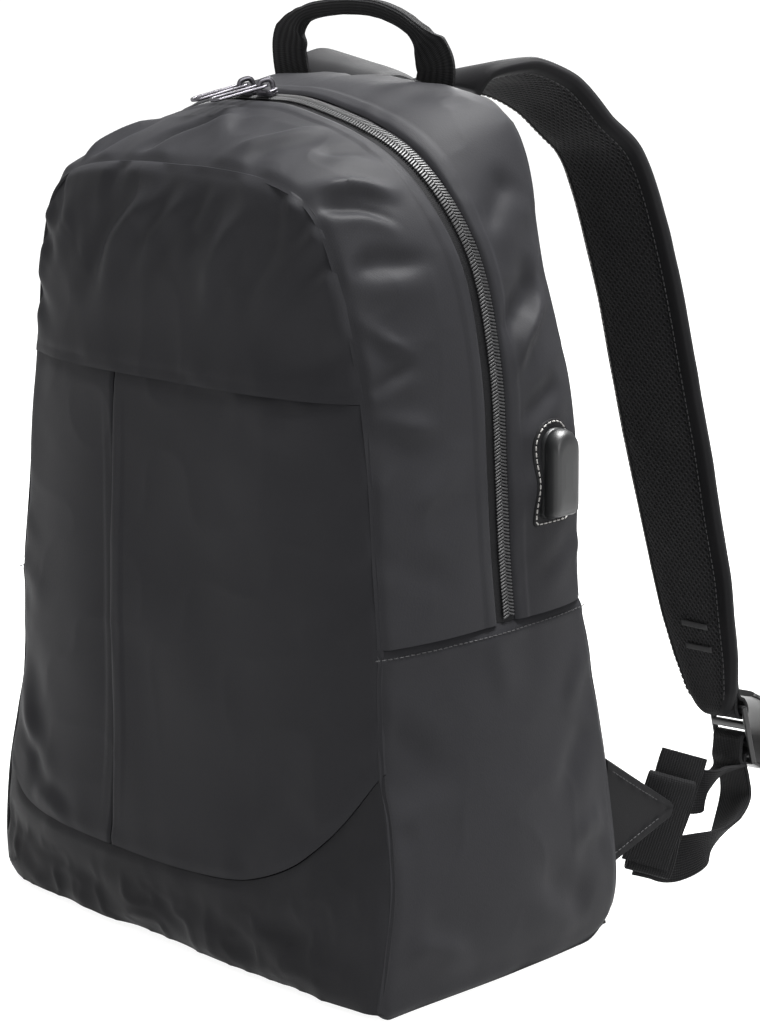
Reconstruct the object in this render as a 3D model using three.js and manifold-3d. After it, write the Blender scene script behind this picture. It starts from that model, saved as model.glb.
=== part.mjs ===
// Laptop backpack, standing on its base. Millimetres, +Z up, front towards -Y, its right side towards +X.
// The origin is on the underside, below the middle of the bag.
import * as THREE from "three";
import { mergeVertices } from "three/addons/utils/BufferGeometryUtils.js";
import Module from "manifold-3d";

const wasm = await Module();
wasm.setup();

// Sizes of the sewn body
const bagHeight = 455;
const frontHeight = 420;
const zipHeight = 449;
const baseWidth = 324;
const backInset = 6;
const backWidth = baseWidth - 2 * backInset;
const baseDepth = 179;
const sideSeamHeight = 189;
const flapSeamHeight = 309;
const curvedSeamHeight = 50;
const curvedSeamRise = 78;
const slitPlace = -44;
const clothWall = 2;
const backPadding = 8;
const seamGap = 0.3;

// How far the cloth stands out between its seams
const frontBulge = 16;
const gussetBulge = 4;
const sideBulge = 7;
const backBulge = 6;
const foldHeight = 5;
const slitOpening = 5;

// Zip
const zipSlot = 15;
const coilWidth = 8;
const coilHeight = 1.6;
const tapeThickness = 1.2;
const sliderLength = 12;
const sliderWidth = 8;
const sliderHeight = 3;
const sliderSpacing = 15.5;
const sliderPlace = -8;
const crownWire = 1.8;
const crownSpan = 7;
const crownWidth = 3;
const pullLength = 31;
const pullWidth = 9;
const pullThickness = 1.8;
const pullRim = 2.2;
const pullClearance = 0.8;
const pullTurn = 66;
const pullDroop = 25;

// Handle, straps and webbing
const handleReach = 55;
const handleRise = 45;
const webbingWidth = 27;
const webbingThickness = 2.4;
const gripWidth = 13;
const gripThickness = 8;
const strapWidth = 66;
const strapThickness = 10;
const strapEdge = 3;
const tabThickness = 2.4;
const buckleWidth = 34;
const buckleLength = 34;
const buckleThickness = 3.5;
const buckleSlot = 5;
const buckleOverlap = 4;
const webbingPlay = 1;
const bowRise = 23;
const bowThickness = 3;
const tailLength = 70;
const tailShift = 5;
const layerSpacing = 3.3;
const tailSpot = { wide: 0.87, deep: 1.799, high: 0.18 };
const tailAcross = new THREE.Vector3(0.55, 0.77, -0.32);
const tailDown = new THREE.Vector3(-0.1, -0.25, -0.96);

// Outlet cover on the right side
const outletHeight = 46;
const outletWidth = 19;
const outletDepth = 11;
const outletLevel = 262;
const outletShare = 0.52;

// Cells of the faceted panels
const cellsAcross = 18;
const cellsBelowCurve = 4;
const cellsAboveCurve = 3;
const cellsToFlap = 6;
const cellsToShoulder = 6;
const cellsOverGusset = 4;
const cellsUnder = 8;
const cellsLeftOfSlit = 6;
const partsOfCell = 8;
const seamSamples = 60;
const curveSamples = 80;
const strapCells = 28;
const handleCells = 28;
const crownCells = 8;
const ringCells = 8;
const outletCells = 10;
const outletColumns = 3;

// How the panels ease off towards their edges: powers of their fullness, and how steeply folds fade out
const fullBelow = 0.72;
const bottomFullness = 0.45;
const frontPower = 3;
const lipPower = 6;
const backPower = 4;
const backTallPower = 6;
const sidePower = 0.7;
const foldFade = 5;
const foldFadeTop = 12;
const flapLip = 1.5;
const flapLipReach = 22;
const slitEnds = 0.1;
const slitReach = 6;
const paddingTaper = 0.4;
const splineTension = 0.5;
const weldGap = 1e-4;

// Seam lines of the right half, from the floor up to the middle of the arch.
// wide: share of half the base or back width, deep: share of half the depth,
// high: share of the seam's height.
const frontSeamRows = [
  { wide: 0.96, deep: -0.955, high: 0.008 },
  { wide: 0.972, deep: -0.985, high: 0.03 },
  { wide: 0.99, deep: -0.97, high: 0.08 },
  { wide: 0.995, deep: -0.92, high: 0.16 },
  { wide: 0.962, deep: -0.88, high: 0.238 },
  { wide: 0.925, deep: -0.866, high: 0.3 },
  { wide: 0.91, deep: -0.853, high: 0.4 },
  { wide: 0.91, deep: -0.845, high: 0.45 },
  { wide: 0.878, deep: -0.82, high: 0.557 },
  { wide: 0.855, deep: -0.803, high: 0.65 },
  { wide: 0.822, deep: -0.793, high: 0.736 },
  { wide: 0.79, deep: -0.8, high: 0.8 },
  { wide: 0.748, deep: -0.82, high: 0.869 },
  { wide: 0.68, deep: -0.838, high: 0.936 },
  { wide: 0.6, deep: -0.845, high: 0.969 },
  { wide: 0.5, deep: -0.85, high: 0.985 },
  { wide: 0.36, deep: -0.853, high: 0.995 },
  { wide: 0.16, deep: -0.855, high: 1 },
  { wide: 0, deep: -0.855, high: 1 },
];
const zipRows = [
  { wide: 0.94, deep: 0.11, high: 0.42 },
  { wide: 0.925, deep: 0.1, high: 0.5 },
  { wide: 0.915, deep: 0.095, high: 0.6 },
  { wide: 0.908, deep: 0.09, high: 0.68 },
  { wide: 0.89, deep: 0.075, high: 0.745 },
  { wide: 0.868, deep: 0.05, high: 0.8 },
  { wide: 0.84, deep: 0.015, high: 0.842 },
  { wide: 0.785, deep: -0.025, high: 0.883 },
  { wide: 0.705, deep: -0.06, high: 0.92 },
  { wide: 0.6, deep: -0.088, high: 0.95 },
  { wide: 0.475, deep: -0.107, high: 0.97 },
  { wide: 0.335, deep: -0.118, high: 0.985 },
  { wide: 0.16, deep: -0.123, high: 0.998 },
  { wide: 0, deep: -0.125, high: 1 },
];
const backSeamRows = [
  { wide: 0.985, deep: 0.926, high: 0.018 },
  { wide: 0.992, deep: 0.995, high: 0.04 },
  { wide: 0.998, deep: 1.005, high: 0.09 },
  { wide: 0.962, deep: 0.99, high: 0.2 },
  { wide: 0.942, deep: 0.94, high: 0.287 },
  { wide: 0.932, deep: 0.88, high: 0.36 },
  { wide: 0.928, deep: 0.815, high: 0.415 },
  { wide: 0.93, deep: 0.795, high: 0.49 },
  { wide: 0.942, deep: 0.78, high: 0.55 },
  { wide: 0.935, deep: 0.765, high: 0.62 },
  { wide: 0.912, deep: 0.752, high: 0.68 },
  { wide: 0.865, deep: 0.738, high: 0.735 },
  { wide: 0.825, deep: 0.722, high: 0.79 },
  { wide: 0.8, deep: 0.7, high: 0.85 },
  { wide: 0.79, deep: 0.69, high: 0.89 },
  { wide: 0.76, deep: 0.68, high: 0.93 },
  { wide: 0.705, deep: 0.672, high: 0.962 },
  { wide: 0.6, deep: 0.665, high: 0.984 },
  { wide: 0.42, deep: 0.66, high: 0.996 },
  { wide: 0.2, deep: 0.657, high: 1 },
  { wide: 0, deep: 0.655, high: 1 },
];
// Underside edge of a side panel, from the front corner to the back corner.
const undersideRows = [
  { wide: 0.96, deep: -0.955, high: 0.008 },
  { wide: 0.955, deep: -0.86, high: 0 },
  { wide: 0.96, deep: -0.45, high: 0 },
  { wide: 0.965, deep: 0, high: 0 },
  { wide: 0.96, deep: 0.4, high: 0 },
  { wide: 0.952, deep: 0.7, high: 0 },
  { wide: 0.948, deep: 0.82, high: 0.0045 },
  { wide: 0.9485, deep: 0.926, high: 0.0195 },
];
// Curved seam of the lower front. along: share of half the width, rise: share of the seam's rise.
const curvedSeamRows = [
  { along: -1, rise: 0.34 },
  { along: -0.92, rise: 0.16 },
  { along: -0.8, rise: 0.04 },
  { along: -0.55, rise: 0 },
  { along: -0.2, rise: 0 },
  { along: 0.1, rise: 0.01 },
  { along: 0.35, rise: 0.05 },
  { along: 0.5, rise: 0.12 },
  { along: 0.66, rise: 0.27 },
  { along: 0.8, rise: 0.5 },
  { along: 0.91, rise: 0.75 },
  { along: 1, rise: 1 },
];

// Folds and dents. On the front, places are shares of the panel's half width and of the bag's height.
// On a gusset they are shares of the arch's length from the right side over the top, and of the gusset's width
// from its front edge. broad is a share of the height.
const frontFoldRows = [
  { fromAcross: -0.02, fromHigh: 0.905, toAcross: -0.3, toHigh: 0.8, broad: 0.018, rise: 1 },
  { fromAcross: 0.12, fromHigh: 0.9, toAcross: -0.12, toHigh: 0.8, broad: 0.016, rise: 0.8 },
  { fromAcross: -0.15, fromHigh: 0.9, toAcross: -0.42, toHigh: 0.77, broad: 0.018, rise: -0.9 },
  { fromAcross: 0.3, fromHigh: 0.885, toAcross: 0.12, toHigh: 0.82, broad: 0.018, rise: -0.6 },
  { fromAcross: -0.42, fromHigh: 0.89, toAcross: -0.6, toHigh: 0.82, broad: 0.018, rise: 0.5 },
  { fromAcross: 0.75, fromHigh: 0.74, toAcross: 0.5, toHigh: 0.7, broad: 0.025, rise: -0.5 },
  { fromAcross: -0.92, fromHigh: 0.3, toAcross: -0.8, toHigh: 0.17, broad: 0.02, rise: 0.9 },
  { fromAcross: -0.97, fromHigh: 0.38, toAcross: -0.85, toHigh: 0.33, broad: 0.03, rise: -0.9 },
];
const baseFoldRows = [
  { fromAcross: -0.75, fromHigh: 0.1, toAcross: -0.5, toHigh: 0.03, broad: 0.016, rise: 0.8 },
  { fromAcross: -0.45, fromHigh: 0.08, toAcross: -0.3, toHigh: 0.03, broad: 0.014, rise: -0.7 },
  { fromAcross: -0.2, fromHigh: 0.09, toAcross: 0.02, toHigh: 0.04, broad: 0.016, rise: 0.8 },
  { fromAcross: 0.3, fromHigh: 0.08, toAcross: 0.45, toHigh: 0.03, broad: 0.016, rise: -0.7 },
  { fromAcross: 0.6, fromHigh: 0.12, toAcross: 0.75, toHigh: 0.04, broad: 0.018, rise: 0.7 },
];
const frontGussetFoldRows = [
  { fromAlong: 0.62, fromOver: 0.1, toAlong: 0.6, toOver: 0.75, broad: 0.012, rise: 1 },
  { fromAlong: 0.55, fromOver: 0.05, toAlong: 0.5, toOver: 0.7, broad: 0.012, rise: -0.9 },
  { fromAlong: 0.45, fromOver: 0.1, toAlong: 0.41, toOver: 0.8, broad: 0.014, rise: 0.8 },
  { fromAlong: 0.36, fromOver: 0.15, toAlong: 0.33, toOver: 0.8, broad: 0.014, rise: 0.9 },
  { fromAlong: 0.29, fromOver: 0.1, toAlong: 0.27, toOver: 0.7, broad: 0.016, rise: -0.7 },
  { fromAlong: 0.7, fromOver: 0.1, toAlong: 0.73, toOver: 0.8, broad: 0.014, rise: -0.8 },
];
const rearGussetFoldRows = [
  { fromAlong: 0.245, fromOver: 0.5, toAlong: 0.2, toOver: 0.95, broad: 0.02, rise: -1 },
  { fromAlong: 0.31, fromOver: 0.3, toAlong: 0.28, toOver: 0.8, broad: 0.018, rise: -0.6 },
  { fromAlong: 0.12, fromOver: 0.4, toAlong: 0.08, toOver: 0.9, broad: 0.02, rise: 0.6 },
  { fromAlong: 0.76, fromOver: 0.5, toAlong: 0.8, toOver: 0.95, broad: 0.02, rise: -1 },
];

// Strap and webbing routes of the right side, in shares of half the base width, half the depth and the height.
// lean: degrees that the width turns up from level, turn: degrees that it turns from +X towards +Y.
const strapRows = [
  { wide: 0.25, deep: 0.68, high: 0.98, lean: 0, turn: 0, width: 1, thick: 0.9 },
  { wide: 0.252, deep: 0.78, high: 0.983, lean: 1, turn: -1, width: 1, thick: 1 },
  { wide: 0.285, deep: 0.92, high: 1, lean: 8, turn: -8, width: 1, thick: 1 },
  { wide: 0.34, deep: 1.22, high: 1, lean: 14, turn: -12, width: 1, thick: 1 },
  { wide: 0.395, deep: 1.46, high: 0.978, lean: 14, turn: -13, width: 1, thick: 1 },
  { wide: 0.444, deep: 1.64, high: 0.938, lean: 8, turn: -11, width: 1, thick: 1 },
  { wide: 0.482, deep: 1.776, high: 0.906, lean: 4, turn: -6, width: 1, thick: 1 },
  { wide: 0.52, deep: 1.845, high: 0.857, lean: 0, turn: -4, width: 1, thick: 1 },
  { wide: 0.568, deep: 1.9, high: 0.779, lean: 0, turn: -4, width: 1, thick: 1 },
  { wide: 0.6, deep: 1.94, high: 0.715, lean: 0, turn: -5, width: 1, thick: 1 },
  { wide: 0.623, deep: 1.972, high: 0.657, lean: 1, turn: -5, width: 1, thick: 1 },
  { wide: 0.66, deep: 2.04, high: 0.556, lean: 1, turn: -5, width: 1, thick: 1 },
  { wide: 0.69, deep: 2.1, high: 0.468, lean: 2, turn: -8, width: 1, thick: 1 },
  { wide: 0.72, deep: 2.157, high: 0.387, lean: 4, turn: -10, width: 1, thick: 1 },
  { wide: 0.742, deep: 2.186, high: 0.329, lean: 4, turn: -12, width: 0.95, thick: 1 },
  { wide: 0.765, deep: 2.214, high: 0.28, lean: 6, turn: -13, width: 0.84, thick: 1 },
  { wide: 0.785, deep: 2.235, high: 0.238, lean: 8, turn: -14, width: 0.66, thick: 1 },
  { wide: 0.797, deep: 2.25, high: 0.205, lean: 8, turn: -14, width: 0.34, thick: 0.8 },
];

// Ladder buckle. out: share of the bow's rise, down: share of the plate's length,
// long: share of the slot size.
const slotRows = [
  { down: 0.13, long: 1 },
  { down: 0.41, long: 1.1 },
  { down: 0.7, long: 1.3 },
];
const bowRows = [
  { out: 0.35, down: 1.12 },
  { out: 0.65, down: 1.06 },
  { out: 0.88, down: 0.92 },
  { out: 1, down: 0.7 },
  { out: 1.01, down: 0.47 },
  { out: 0.92, down: 0.24 },
  { out: 0.74, down: 0.04 },
  { out: 0.52, down: -0.1 },
];
// Webbing round the bars of the plate, from its upper edge down and out from its inner face, in millimetres.
const loopRows = [
  { down: 0, out: -1.7 },
  { down: 2.4, out: -1.8 },
  { down: 5.6, out: -0.9 },
  { down: 6.9, out: 1.75 },
  { down: 5.6, out: 4.5 },
  { down: 3, out: 5.35 },
  { down: 0, out: 5.3 },
  { down: -2.6, out: 4.4 },
];
const lockRows = [
  { down: 35, out: -4.9 },
  { down: 29, out: -4.6 },
  { down: 25, out: -3.3 },
  { down: 21, out: -2 },
  { down: 18.2, out: -1.1 },
  { down: 16.7, out: 1.75 },
  { down: 18.2, out: 4.6 },
  { down: 21, out: 5.4 },
  { down: 24.2, out: 5.2 },
  { down: 26.6, out: 3.8 },
  { down: 27.6, out: 1.4 },
  { down: 29.2, out: -1 },
  { down: 32, out: -1.9 },
  { down: 36, out: -1.95 },
  { down: 42, out: -1.8 },
];
// Strands below the buckle, with places and directions given as for the straps.
const loadRows = [
  { wide: 0.88, deep: 1.99, high: 0.1265, lean: 66, turn: 20 },
  { wide: 0.852, deep: 2.134, high: 0.132, lean: 36, turn: -6 },
];
const freeRows = [
  { wide: 0.852, deep: 2.335, high: 0.1, lean: 12, turn: -10 },
  { wide: 0.88, deep: 2.18, high: 0.071, lean: 34, turn: -4 },
  { wide: 0.895, deep: 2.0, high: 0.055, lean: 60, turn: 10 },
];
// Both strands end behind the folded tail. wide: share of the webbing's width, out: share of its thickness.
const behindTailRows = [
  { wide: -0.25, out: 1.13 },
  { wide: 0.15, out: 1.4 },
  { wide: 0.58, out: 3.4 },
];
const loadEnd = 0.29;
const freeEnd = 0.87;
// Cloth tab at the lower back corner: its outline from the base of its lower edge to that of its upper one.
const tabRows = [
  { deep: 1.58, high: 0.112 },
  { deep: 1.6, high: 0.12 },
  { deep: 1.6, high: 0.127 },
  { deep: 1.57, high: 0.134 },
];
const tabFoot = { low: 0.077, high: 0.213 };

const material = (hex, roughness, metalness = 0) =>
  new THREE.MeshStandardMaterial({ color: hex, roughness, metalness, side: THREE.DoubleSide });
const bodyCloth = material(0x2f2f31, 0.8);
const mesh = material(0x18181a, 0.9);
const webbing = material(0x202021, 0.75);
const coilPlastic = material(0x151516, 0.45);
const pullMetal = material(0x9a979a, 0.3, 1);
const buckleThermoplastic = material(0x1b1b1c, 0.45);
const outletRubber = material(0x161718, 0.5);

const backpack = new THREE.Group();

function addPiece(name, geometry, finish) {
  const piece = new THREE.Mesh(geometry, finish);
  piece.name = name;
  backpack.add(piece);
  return piece;
}

const halfBase = baseWidth / 2;
const halfBack = backWidth / 2;
const halfDepth = baseDepth / 2;
const up = new THREE.Vector3(0, 0, 1);
const archCells = 2 * (cellsToFlap + cellsToShoulder) + cellsAcross;

// A closed solid from points and triangles, turned so that its faces point out.
function closedSolid(points, faces) {
  let sixfoldVolume = 0;
  for (let f = 0; f < faces.length; f += 3) {
    const [a, b, c] = [points[faces[f]], points[faces[f + 1]], points[faces[f + 2]]];
    sixfoldVolume += a.dot(b.clone().cross(c));
  }
  const turned = sixfoldVolume < 0 ? [...faces].reverse() : faces;
  const geometry = new THREE.BufferGeometry();
  geometry.setAttribute("position", new THREE.Float32BufferAttribute(points.flatMap((p) => p.toArray()), 3));
  geometry.setIndex(turned);
  geometry.computeVertexNormals();
  return geometry;
}

// A sheet of cloth between an outer and an inner grid of points, closed along its four edges.
function clothSheet(outer, inner) {
  const columns = outer.length;
  const rows = outer[0].length;
  const points = [...outer.flat(), ...inner.flat()];
  const faces = [];
  const outerAt = (i, j) => i * rows + j;
  const innerAt = (i, j) => columns * rows + i * rows + j;
  const quad = (a, b, c, d) => faces.push(a, b, c, a, c, d);
  for (let i = 0; i < columns - 1; i += 1) {
    for (let j = 0; j < rows - 1; j += 1) {
      quad(outerAt(i, j), outerAt(i + 1, j), outerAt(i + 1, j + 1), outerAt(i, j + 1));
      quad(innerAt(i, j), innerAt(i, j + 1), innerAt(i + 1, j + 1), innerAt(i + 1, j));
    }
  }
  const edge = [];
  for (let i = 0; i < columns - 1; i += 1) edge.push([i, 0]);
  for (let j = 0; j < rows - 1; j += 1) edge.push([columns - 1, j]);
  for (let i = columns - 1; i > 0; i -= 1) edge.push([i, rows - 1]);
  for (let j = rows - 1; j > 0; j -= 1) edge.push([0, j]);
  edge.forEach(([i, j], k) => {
    const [nextI, nextJ] = edge[(k + 1) % edge.length];
    quad(outerAt(nextI, nextJ), outerAt(i, j), innerAt(i, j), innerAt(nextI, nextJ));
  });
  return closedSolid(points, faces);
}

// A solid swept through rings of points, all with the same section, which closes its two ends.
function sweptSolid(rings, section) {
  const sides = section.length;
  const points = rings.flat();
  const faces = [];
  for (let ring = 0; ring < rings.length - 1; ring += 1) {
    for (let side = 0; side < sides; side += 1) {
      const next = (side + 1) % sides;
      const [a, b] = [ring * sides + side, ring * sides + next];
      faces.push(a, b, b + sides, a, b + sides, a + sides);
    }
  }
  const flat = section.map(([across, thick]) => new THREE.Vector2(across, thick));
  const last = (rings.length - 1) * sides;
  THREE.ShapeUtils.triangulateShape(flat, []).forEach(([a, b, c]) => {
    faces.push(a, c, b);
    faces.push(last + a, last + b, last + c);
  });
  return closedSolid(points, faces);
}

function seamCurve(rows, halfWidth, height) {
  const points = rows.map(
    (row) => new THREE.Vector3(row.wide * halfWidth, row.deep * halfDepth, row.high * height),
  );
  return new THREE.CatmullRomCurve3(points, false, "catmullrom", splineTension);
}

// Share of a seam's length at which it reaches a height.
function shareAtHeight(curve, height) {
  let low = 0;
  let high = 1;
  const halvings = 30;
  for (let step = 0; step < halvings; step += 1) {
    const middle = (low + high) / 2;
    if (curve.getPointAt(middle).z < height) low = middle;
    else high = middle;
  }
  return low;
}

// Points along a seam between two shares of its length, evenly spaced, without the last one.
function stretch(curve, from, to, cells) {
  return Array.from({ length: cells }, (_, k) => curve.getPointAt(from + ((to - from) * k) / cells));
}

const mirrored = (point) => new THREE.Vector3(-point.x, point.y, point.z);
const blend = (a, b, share) => a + (b - a) * share;
const shares = (cells) => Array.from({ length: cells + 1 }, (_, k) => k / cells);

const frontSeam = seamCurve(frontSeamRows, halfBase, frontHeight);
const zipLine = seamCurve(zipRows, halfBase, zipHeight);
const backSeam = seamCurve(backSeamRows, halfBack, bagHeight);
const underside = seamCurve(undersideRows, halfBase, bagHeight);

// Points of the underside edge, none of them below the floor.
const undersideEdge = [...stretch(underside, 0, 1, cellsUnder), underside.getPointAt(1)];
undersideEdge.forEach((point) => point.setZ(Math.max(0, point.z)));

// A whole arch of points from the right side seam over the top to the left one.
function archPoints(curve, sideShares, shoulderShare) {
  const right = [];
  sideShares.forEach(({ from, to, cells }) => right.push(...stretch(curve, from, to, cells)));
  const half = cellsAcross / 2;
  right.push(...stretch(curve, shoulderShare, 1, half));
  const left = right.map(mirrored).reverse();
  return [...right, curve.getPointAt(1), ...left];
}

function plainArch(curve, shoulderHeight) {
  const from = shareAtHeight(curve, sideSeamHeight);
  const to = shareAtHeight(curve, shoulderHeight);
  return archPoints(curve, [{ from, to, cells: cellsToFlap + cellsToShoulder }], to);
}

const frontShoulder = 0.962;
const zipShoulder = 0.945;
const backShoulder = 0.957;
const seamShare = shareAtHeight(frontSeam, sideSeamHeight);
const flapShare = shareAtHeight(frontSeam, flapSeamHeight);
const shoulderShare = shareAtHeight(frontSeam, frontShoulder * frontHeight);
const frontArch = archPoints(
  frontSeam,
  [
    { from: seamShare, to: flapShare, cells: cellsToFlap },
    { from: flapShare, to: shoulderShare, cells: cellsToShoulder },
  ],
  shoulderShare,
);
const zipArch = plainArch(zipLine, zipShoulder * zipHeight);
const backArch = plainArch(backSeam, backShoulder * bagHeight);

// Outward direction of an arch at each of its points, level at its two ends.
function outwardOf(arch) {
  return arch.map((_, k) => {
    if (k === 0) return new THREE.Vector3(1, 0, 0);
    if (k === arch.length - 1) return new THREE.Vector3(-1, 0, 0);
    const along = arch[k + 1].clone().sub(arch[k - 1]);
    return new THREE.Vector3(along.z, 0, -along.x).normalize();
  });
}

const frontOutward = outwardOf(frontArch);
const backOutward = outwardOf(backArch);
const zipAcross = zipArch.map((_, k) => {
  const across = backArch[k].clone().sub(frontArch[k]);
  if (k === 0 || k === zipArch.length - 1) across.z = 0;
  return across.normalize();
});
const zipOutward = zipArch.map((_, k) => {
  if (k === 0 || k === zipArch.length - 1) {
    const side = Math.sign(zipArch[k].x);
    return new THREE.Vector3(zipAcross[k].y * side, -zipAcross[k].x * side, 0);
  }
  const along = zipArch[k + 1].clone().sub(zipArch[k - 1]);
  return zipAcross[k].clone().cross(along).normalize();
});

// Height of folds over a panel: each is a ridge or a dent round a line from one place to another.
function foldRise(rows, place, from, to) {
  return rows.reduce((sum, row) => {
    const start = from(row);
    const along = to(row).sub(start);
    const share = THREE.MathUtils.clamp(place.clone().sub(start).dot(along) / along.lengthSq(), 0, 1);
    const aside = place.distanceTo(start.clone().addScaledVector(along, share));
    return sum + row.rise * foldHeight * Math.exp(-((aside / (row.broad * bagHeight)) ** 2));
  }, 0);
}

const archLength = zipArch.reduce((sum, point, k) => (k ? sum + point.distanceTo(zipArch[k - 1]) : 0), 0);
const gussetWidth = frontArch[0].distanceTo(zipArch[0]);
const overPlace = (along, over) => new THREE.Vector2(along * archLength, over * gussetWidth);

// A gusset between a body seam and one edge of the zip's slot.
function gusset(seamArch, seamOutward, slotSide, foldRows) {
  const outer = [];
  const inner = [];
  const last = seamArch.length - 1;
  seamArch.forEach((seamPoint, k) => {
    const slotPoint = zipArch[k].clone().addScaledVector(zipAcross[k], (slotSide * zipSlot) / 2);
    const outerRow = [];
    const innerRow = [];
    shares(cellsOverGusset).forEach((over) => {
      const outward = seamOutward[k].clone().lerp(zipOutward[k], over).normalize();
      const window = 4 * over * (1 - over);
      const endWindow = Math.min(1, (Math.min(k, last - k) / last) * foldFadeTop);
      const place = overPlace(k / last, over);
      const folds = foldRise(
        foldRows,
        place,
        (row) => overPlace(row.fromAlong, row.fromOver),
        (row) => overPlace(row.toAlong, row.toOver),
      );
      const point = seamPoint
        .clone()
        .lerp(slotPoint, over)
        .addScaledVector(outward, window * (gussetBulge + folds * endWindow));
      if (k === 0 || k === last) point.z = sideSeamHeight + seamGap / 2;
      const innerPoint = point.clone().addScaledVector(outward, -clothWall);
      outerRow.push(point);
      innerRow.push(innerPoint);
    });
    outer.push(outerRow);
    inner.push(innerRow);
  });
  return { outer, inner };
}

const frontGusset = gusset(frontArch, frontOutward, -1, frontGussetFoldRows);
const rearGusset = gusset(backArch, backOutward, 1, rearGussetFoldRows);
addPiece("front_gusset", clothSheet(frontGusset.outer, frontGusset.inner), bodyCloth);
addPiece("rear_gusset", clothSheet(rearGusset.outer, rearGusset.inner), bodyCloth);

// Where the front panels' edges meet the inner face of the gussets and side panels.
const inset = clothWall + seamGap;
const frontEdgeAt = (k, points, outward) => points[k].clone().addScaledVector(outward[k], -inset);
const frontArchEdge = frontArch.map((_, k) => frontEdgeAt(k, frontArch, frontOutward));

const curveEnds = { right: curvedSeamRows.at(-1), left: curvedSeamRows[0] };
const curveEndHeight = (side) => curvedSeamHeight + curvedSeamRise * curveEnds[side].rise;

// Front edge of a lower side, from the floor corner up to the side seam, on the right half.
function lowerFrontEdge(side) {
  const corner = shareAtHeight(frontSeam, curveEndHeight(side));
  return [
    ...stretch(frontSeam, 0, corner, cellsBelowCurve),
    ...stretch(frontSeam, corner, seamShare, cellsAboveCurve),
    frontSeam.getPointAt(seamShare),
  ];
}

// Place on a seam at a height, from places sampled along it.
function seamTable(curve) {
  const places = shares(seamSamples).map((share) => curve.getPointAt(share));
  return (height) => {
    const above = places.findIndex((point) => point.z >= height);
    if (above < 0) return places.at(-1);
    if (above === 0) return places[0];
    const [low, high] = [places[above - 1], places[above]];
    return low.clone().lerp(high, (height - low.z) / (high.z - low.z));
  };
}
const frontSeamAt = seamTable(frontSeam);
const backSeamAt = seamTable(backSeam);

// The front face: it stands out from its seams, fuller towards its middle, and rounds off at the top.
function frontFace(x, z, foldRows) {
  const across = THREE.MathUtils.clamp(x / frontSeamAt(z).x, -1, 1);
  const high = z / frontHeight;
  const overTop = THREE.MathUtils.clamp((high - fullBelow) / (1 - fullBelow), 0, 1);
  const nearFloor = THREE.MathUtils.clamp(z / curvedSeamHeight, 0, 1);
  const fullness = Math.sqrt(1 - overTop ** 2) * blend(bottomFullness, 1, nearFloor);
  const bulge = frontBulge * fullness * (1 - Math.abs(across) ** frontPower);
  const frontPlace = (share, tall) => new THREE.Vector2(share * halfBase, tall * bagHeight);
  const folds = foldRise(
    foldRows,
    new THREE.Vector2(x, z),
    (row) => frontPlace(row.fromAcross, row.fromHigh),
    (row) => frontPlace(row.toAcross, row.toHigh),
  );
  const foldWindow = Math.min(1, (1 - Math.abs(across)) * foldFade) * Math.min(1, (1 - high) * foldFadeTop);
  return frontSeamAt(z).y - bulge - folds * Math.max(0, foldWindow);
}

const lineThrough = (rows, place, from, to) => {
  const above = Math.max(1, rows.findIndex((row) => row[from] >= place));
  const [low, high] = [rows[above - 1], rows[above]];
  return blend(low[to], high[to], (place - low[from]) / (high[from] - low[from]));
};
// The curved seam, rounded off between its rows.
const curvedSeam = new THREE.CatmullRomCurve3(
  curvedSeamRows.map((row) => new THREE.Vector3(row.along, row.rise, 0)),
  false,
  "catmullrom",
  splineTension,
);
const curvedSeamPoints = shares(curveSamples).map((share) => curvedSeam.getPointAt(share));
function curvedSeamAt(x) {
  const width = frontSeamAt(curveEndHeight(x > 0 ? "right" : "left")).x - inset;
  const along = THREE.MathUtils.clamp(x / width, -1, 1);
  return curvedSeamHeight + curvedSeamRise * lineThrough(curvedSeamPoints, along, "x", "y");
}

// A grid of points between four edges, each edge given from left to right or from bottom to top.
function gridBetween(bottom, top, left, right) {
  const columns = bottom.length - 1;
  const rows = left.length - 1;
  return bottom.map((low, i) =>
    left.map((_, j) => {
      const [across, tall] = [i / columns, j / rows];
      const point = low.clone().multiplyScalar(1 - tall);
      point.addScaledVector(top[i], tall);
      point.addScaledVector(left[j], 1 - across);
      point.addScaledVector(right[j], across);
      point.addScaledVector(bottom[0], -(1 - across) * (1 - tall));
      point.addScaledVector(bottom[columns], -across * (1 - tall));
      point.addScaledVector(top[0], -(1 - across) * tall);
      return point.addScaledVector(top[columns], -across * tall);
    }),
  );
}

const pushed = (grid, direction, distance) =>
  grid.map((column) => column.map((point) => point.clone().addScaledVector(direction, distance)));
const withDepth = (grid, depthAt) =>
  grid.map((column) => column.map((point) => new THREE.Vector3(point.x, depthAt(point.x, point.z), point.z)));
const inwards = new THREE.Vector3(0, 1, 0);
const evenly = (from, to, cells) => shares(cells).map((share) => from.clone().lerp(to, share));
const atHeight = (point, height) => new THREE.Vector3(point.x, point.y, height);

// Left and right edges of the front panels, from the floor corner up to the middle of the arch.
const insideX = (point) => new THREE.Vector3(point.x - inset, point.y, point.z);
const lowerRight = lowerFrontEdge("right");
const lowerLeft = lowerFrontEdge("left");
const rightEdge = [...lowerRight.slice(0, -1).map(insideX), ...frontArchEdge.slice(0, archCells / 2 + 1)];
const leftEdge = [
  ...lowerLeft.slice(0, -1).map(insideX).map(mirrored),
  ...frontArchEdge.slice(archCells / 2).reverse(),
];
const curveRow = cellsBelowCurve;
const flapRow = cellsBelowCurve + cellsAboveCurve + cellsToFlap;
const shoulderRow = flapRow + cellsToShoulder;

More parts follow.
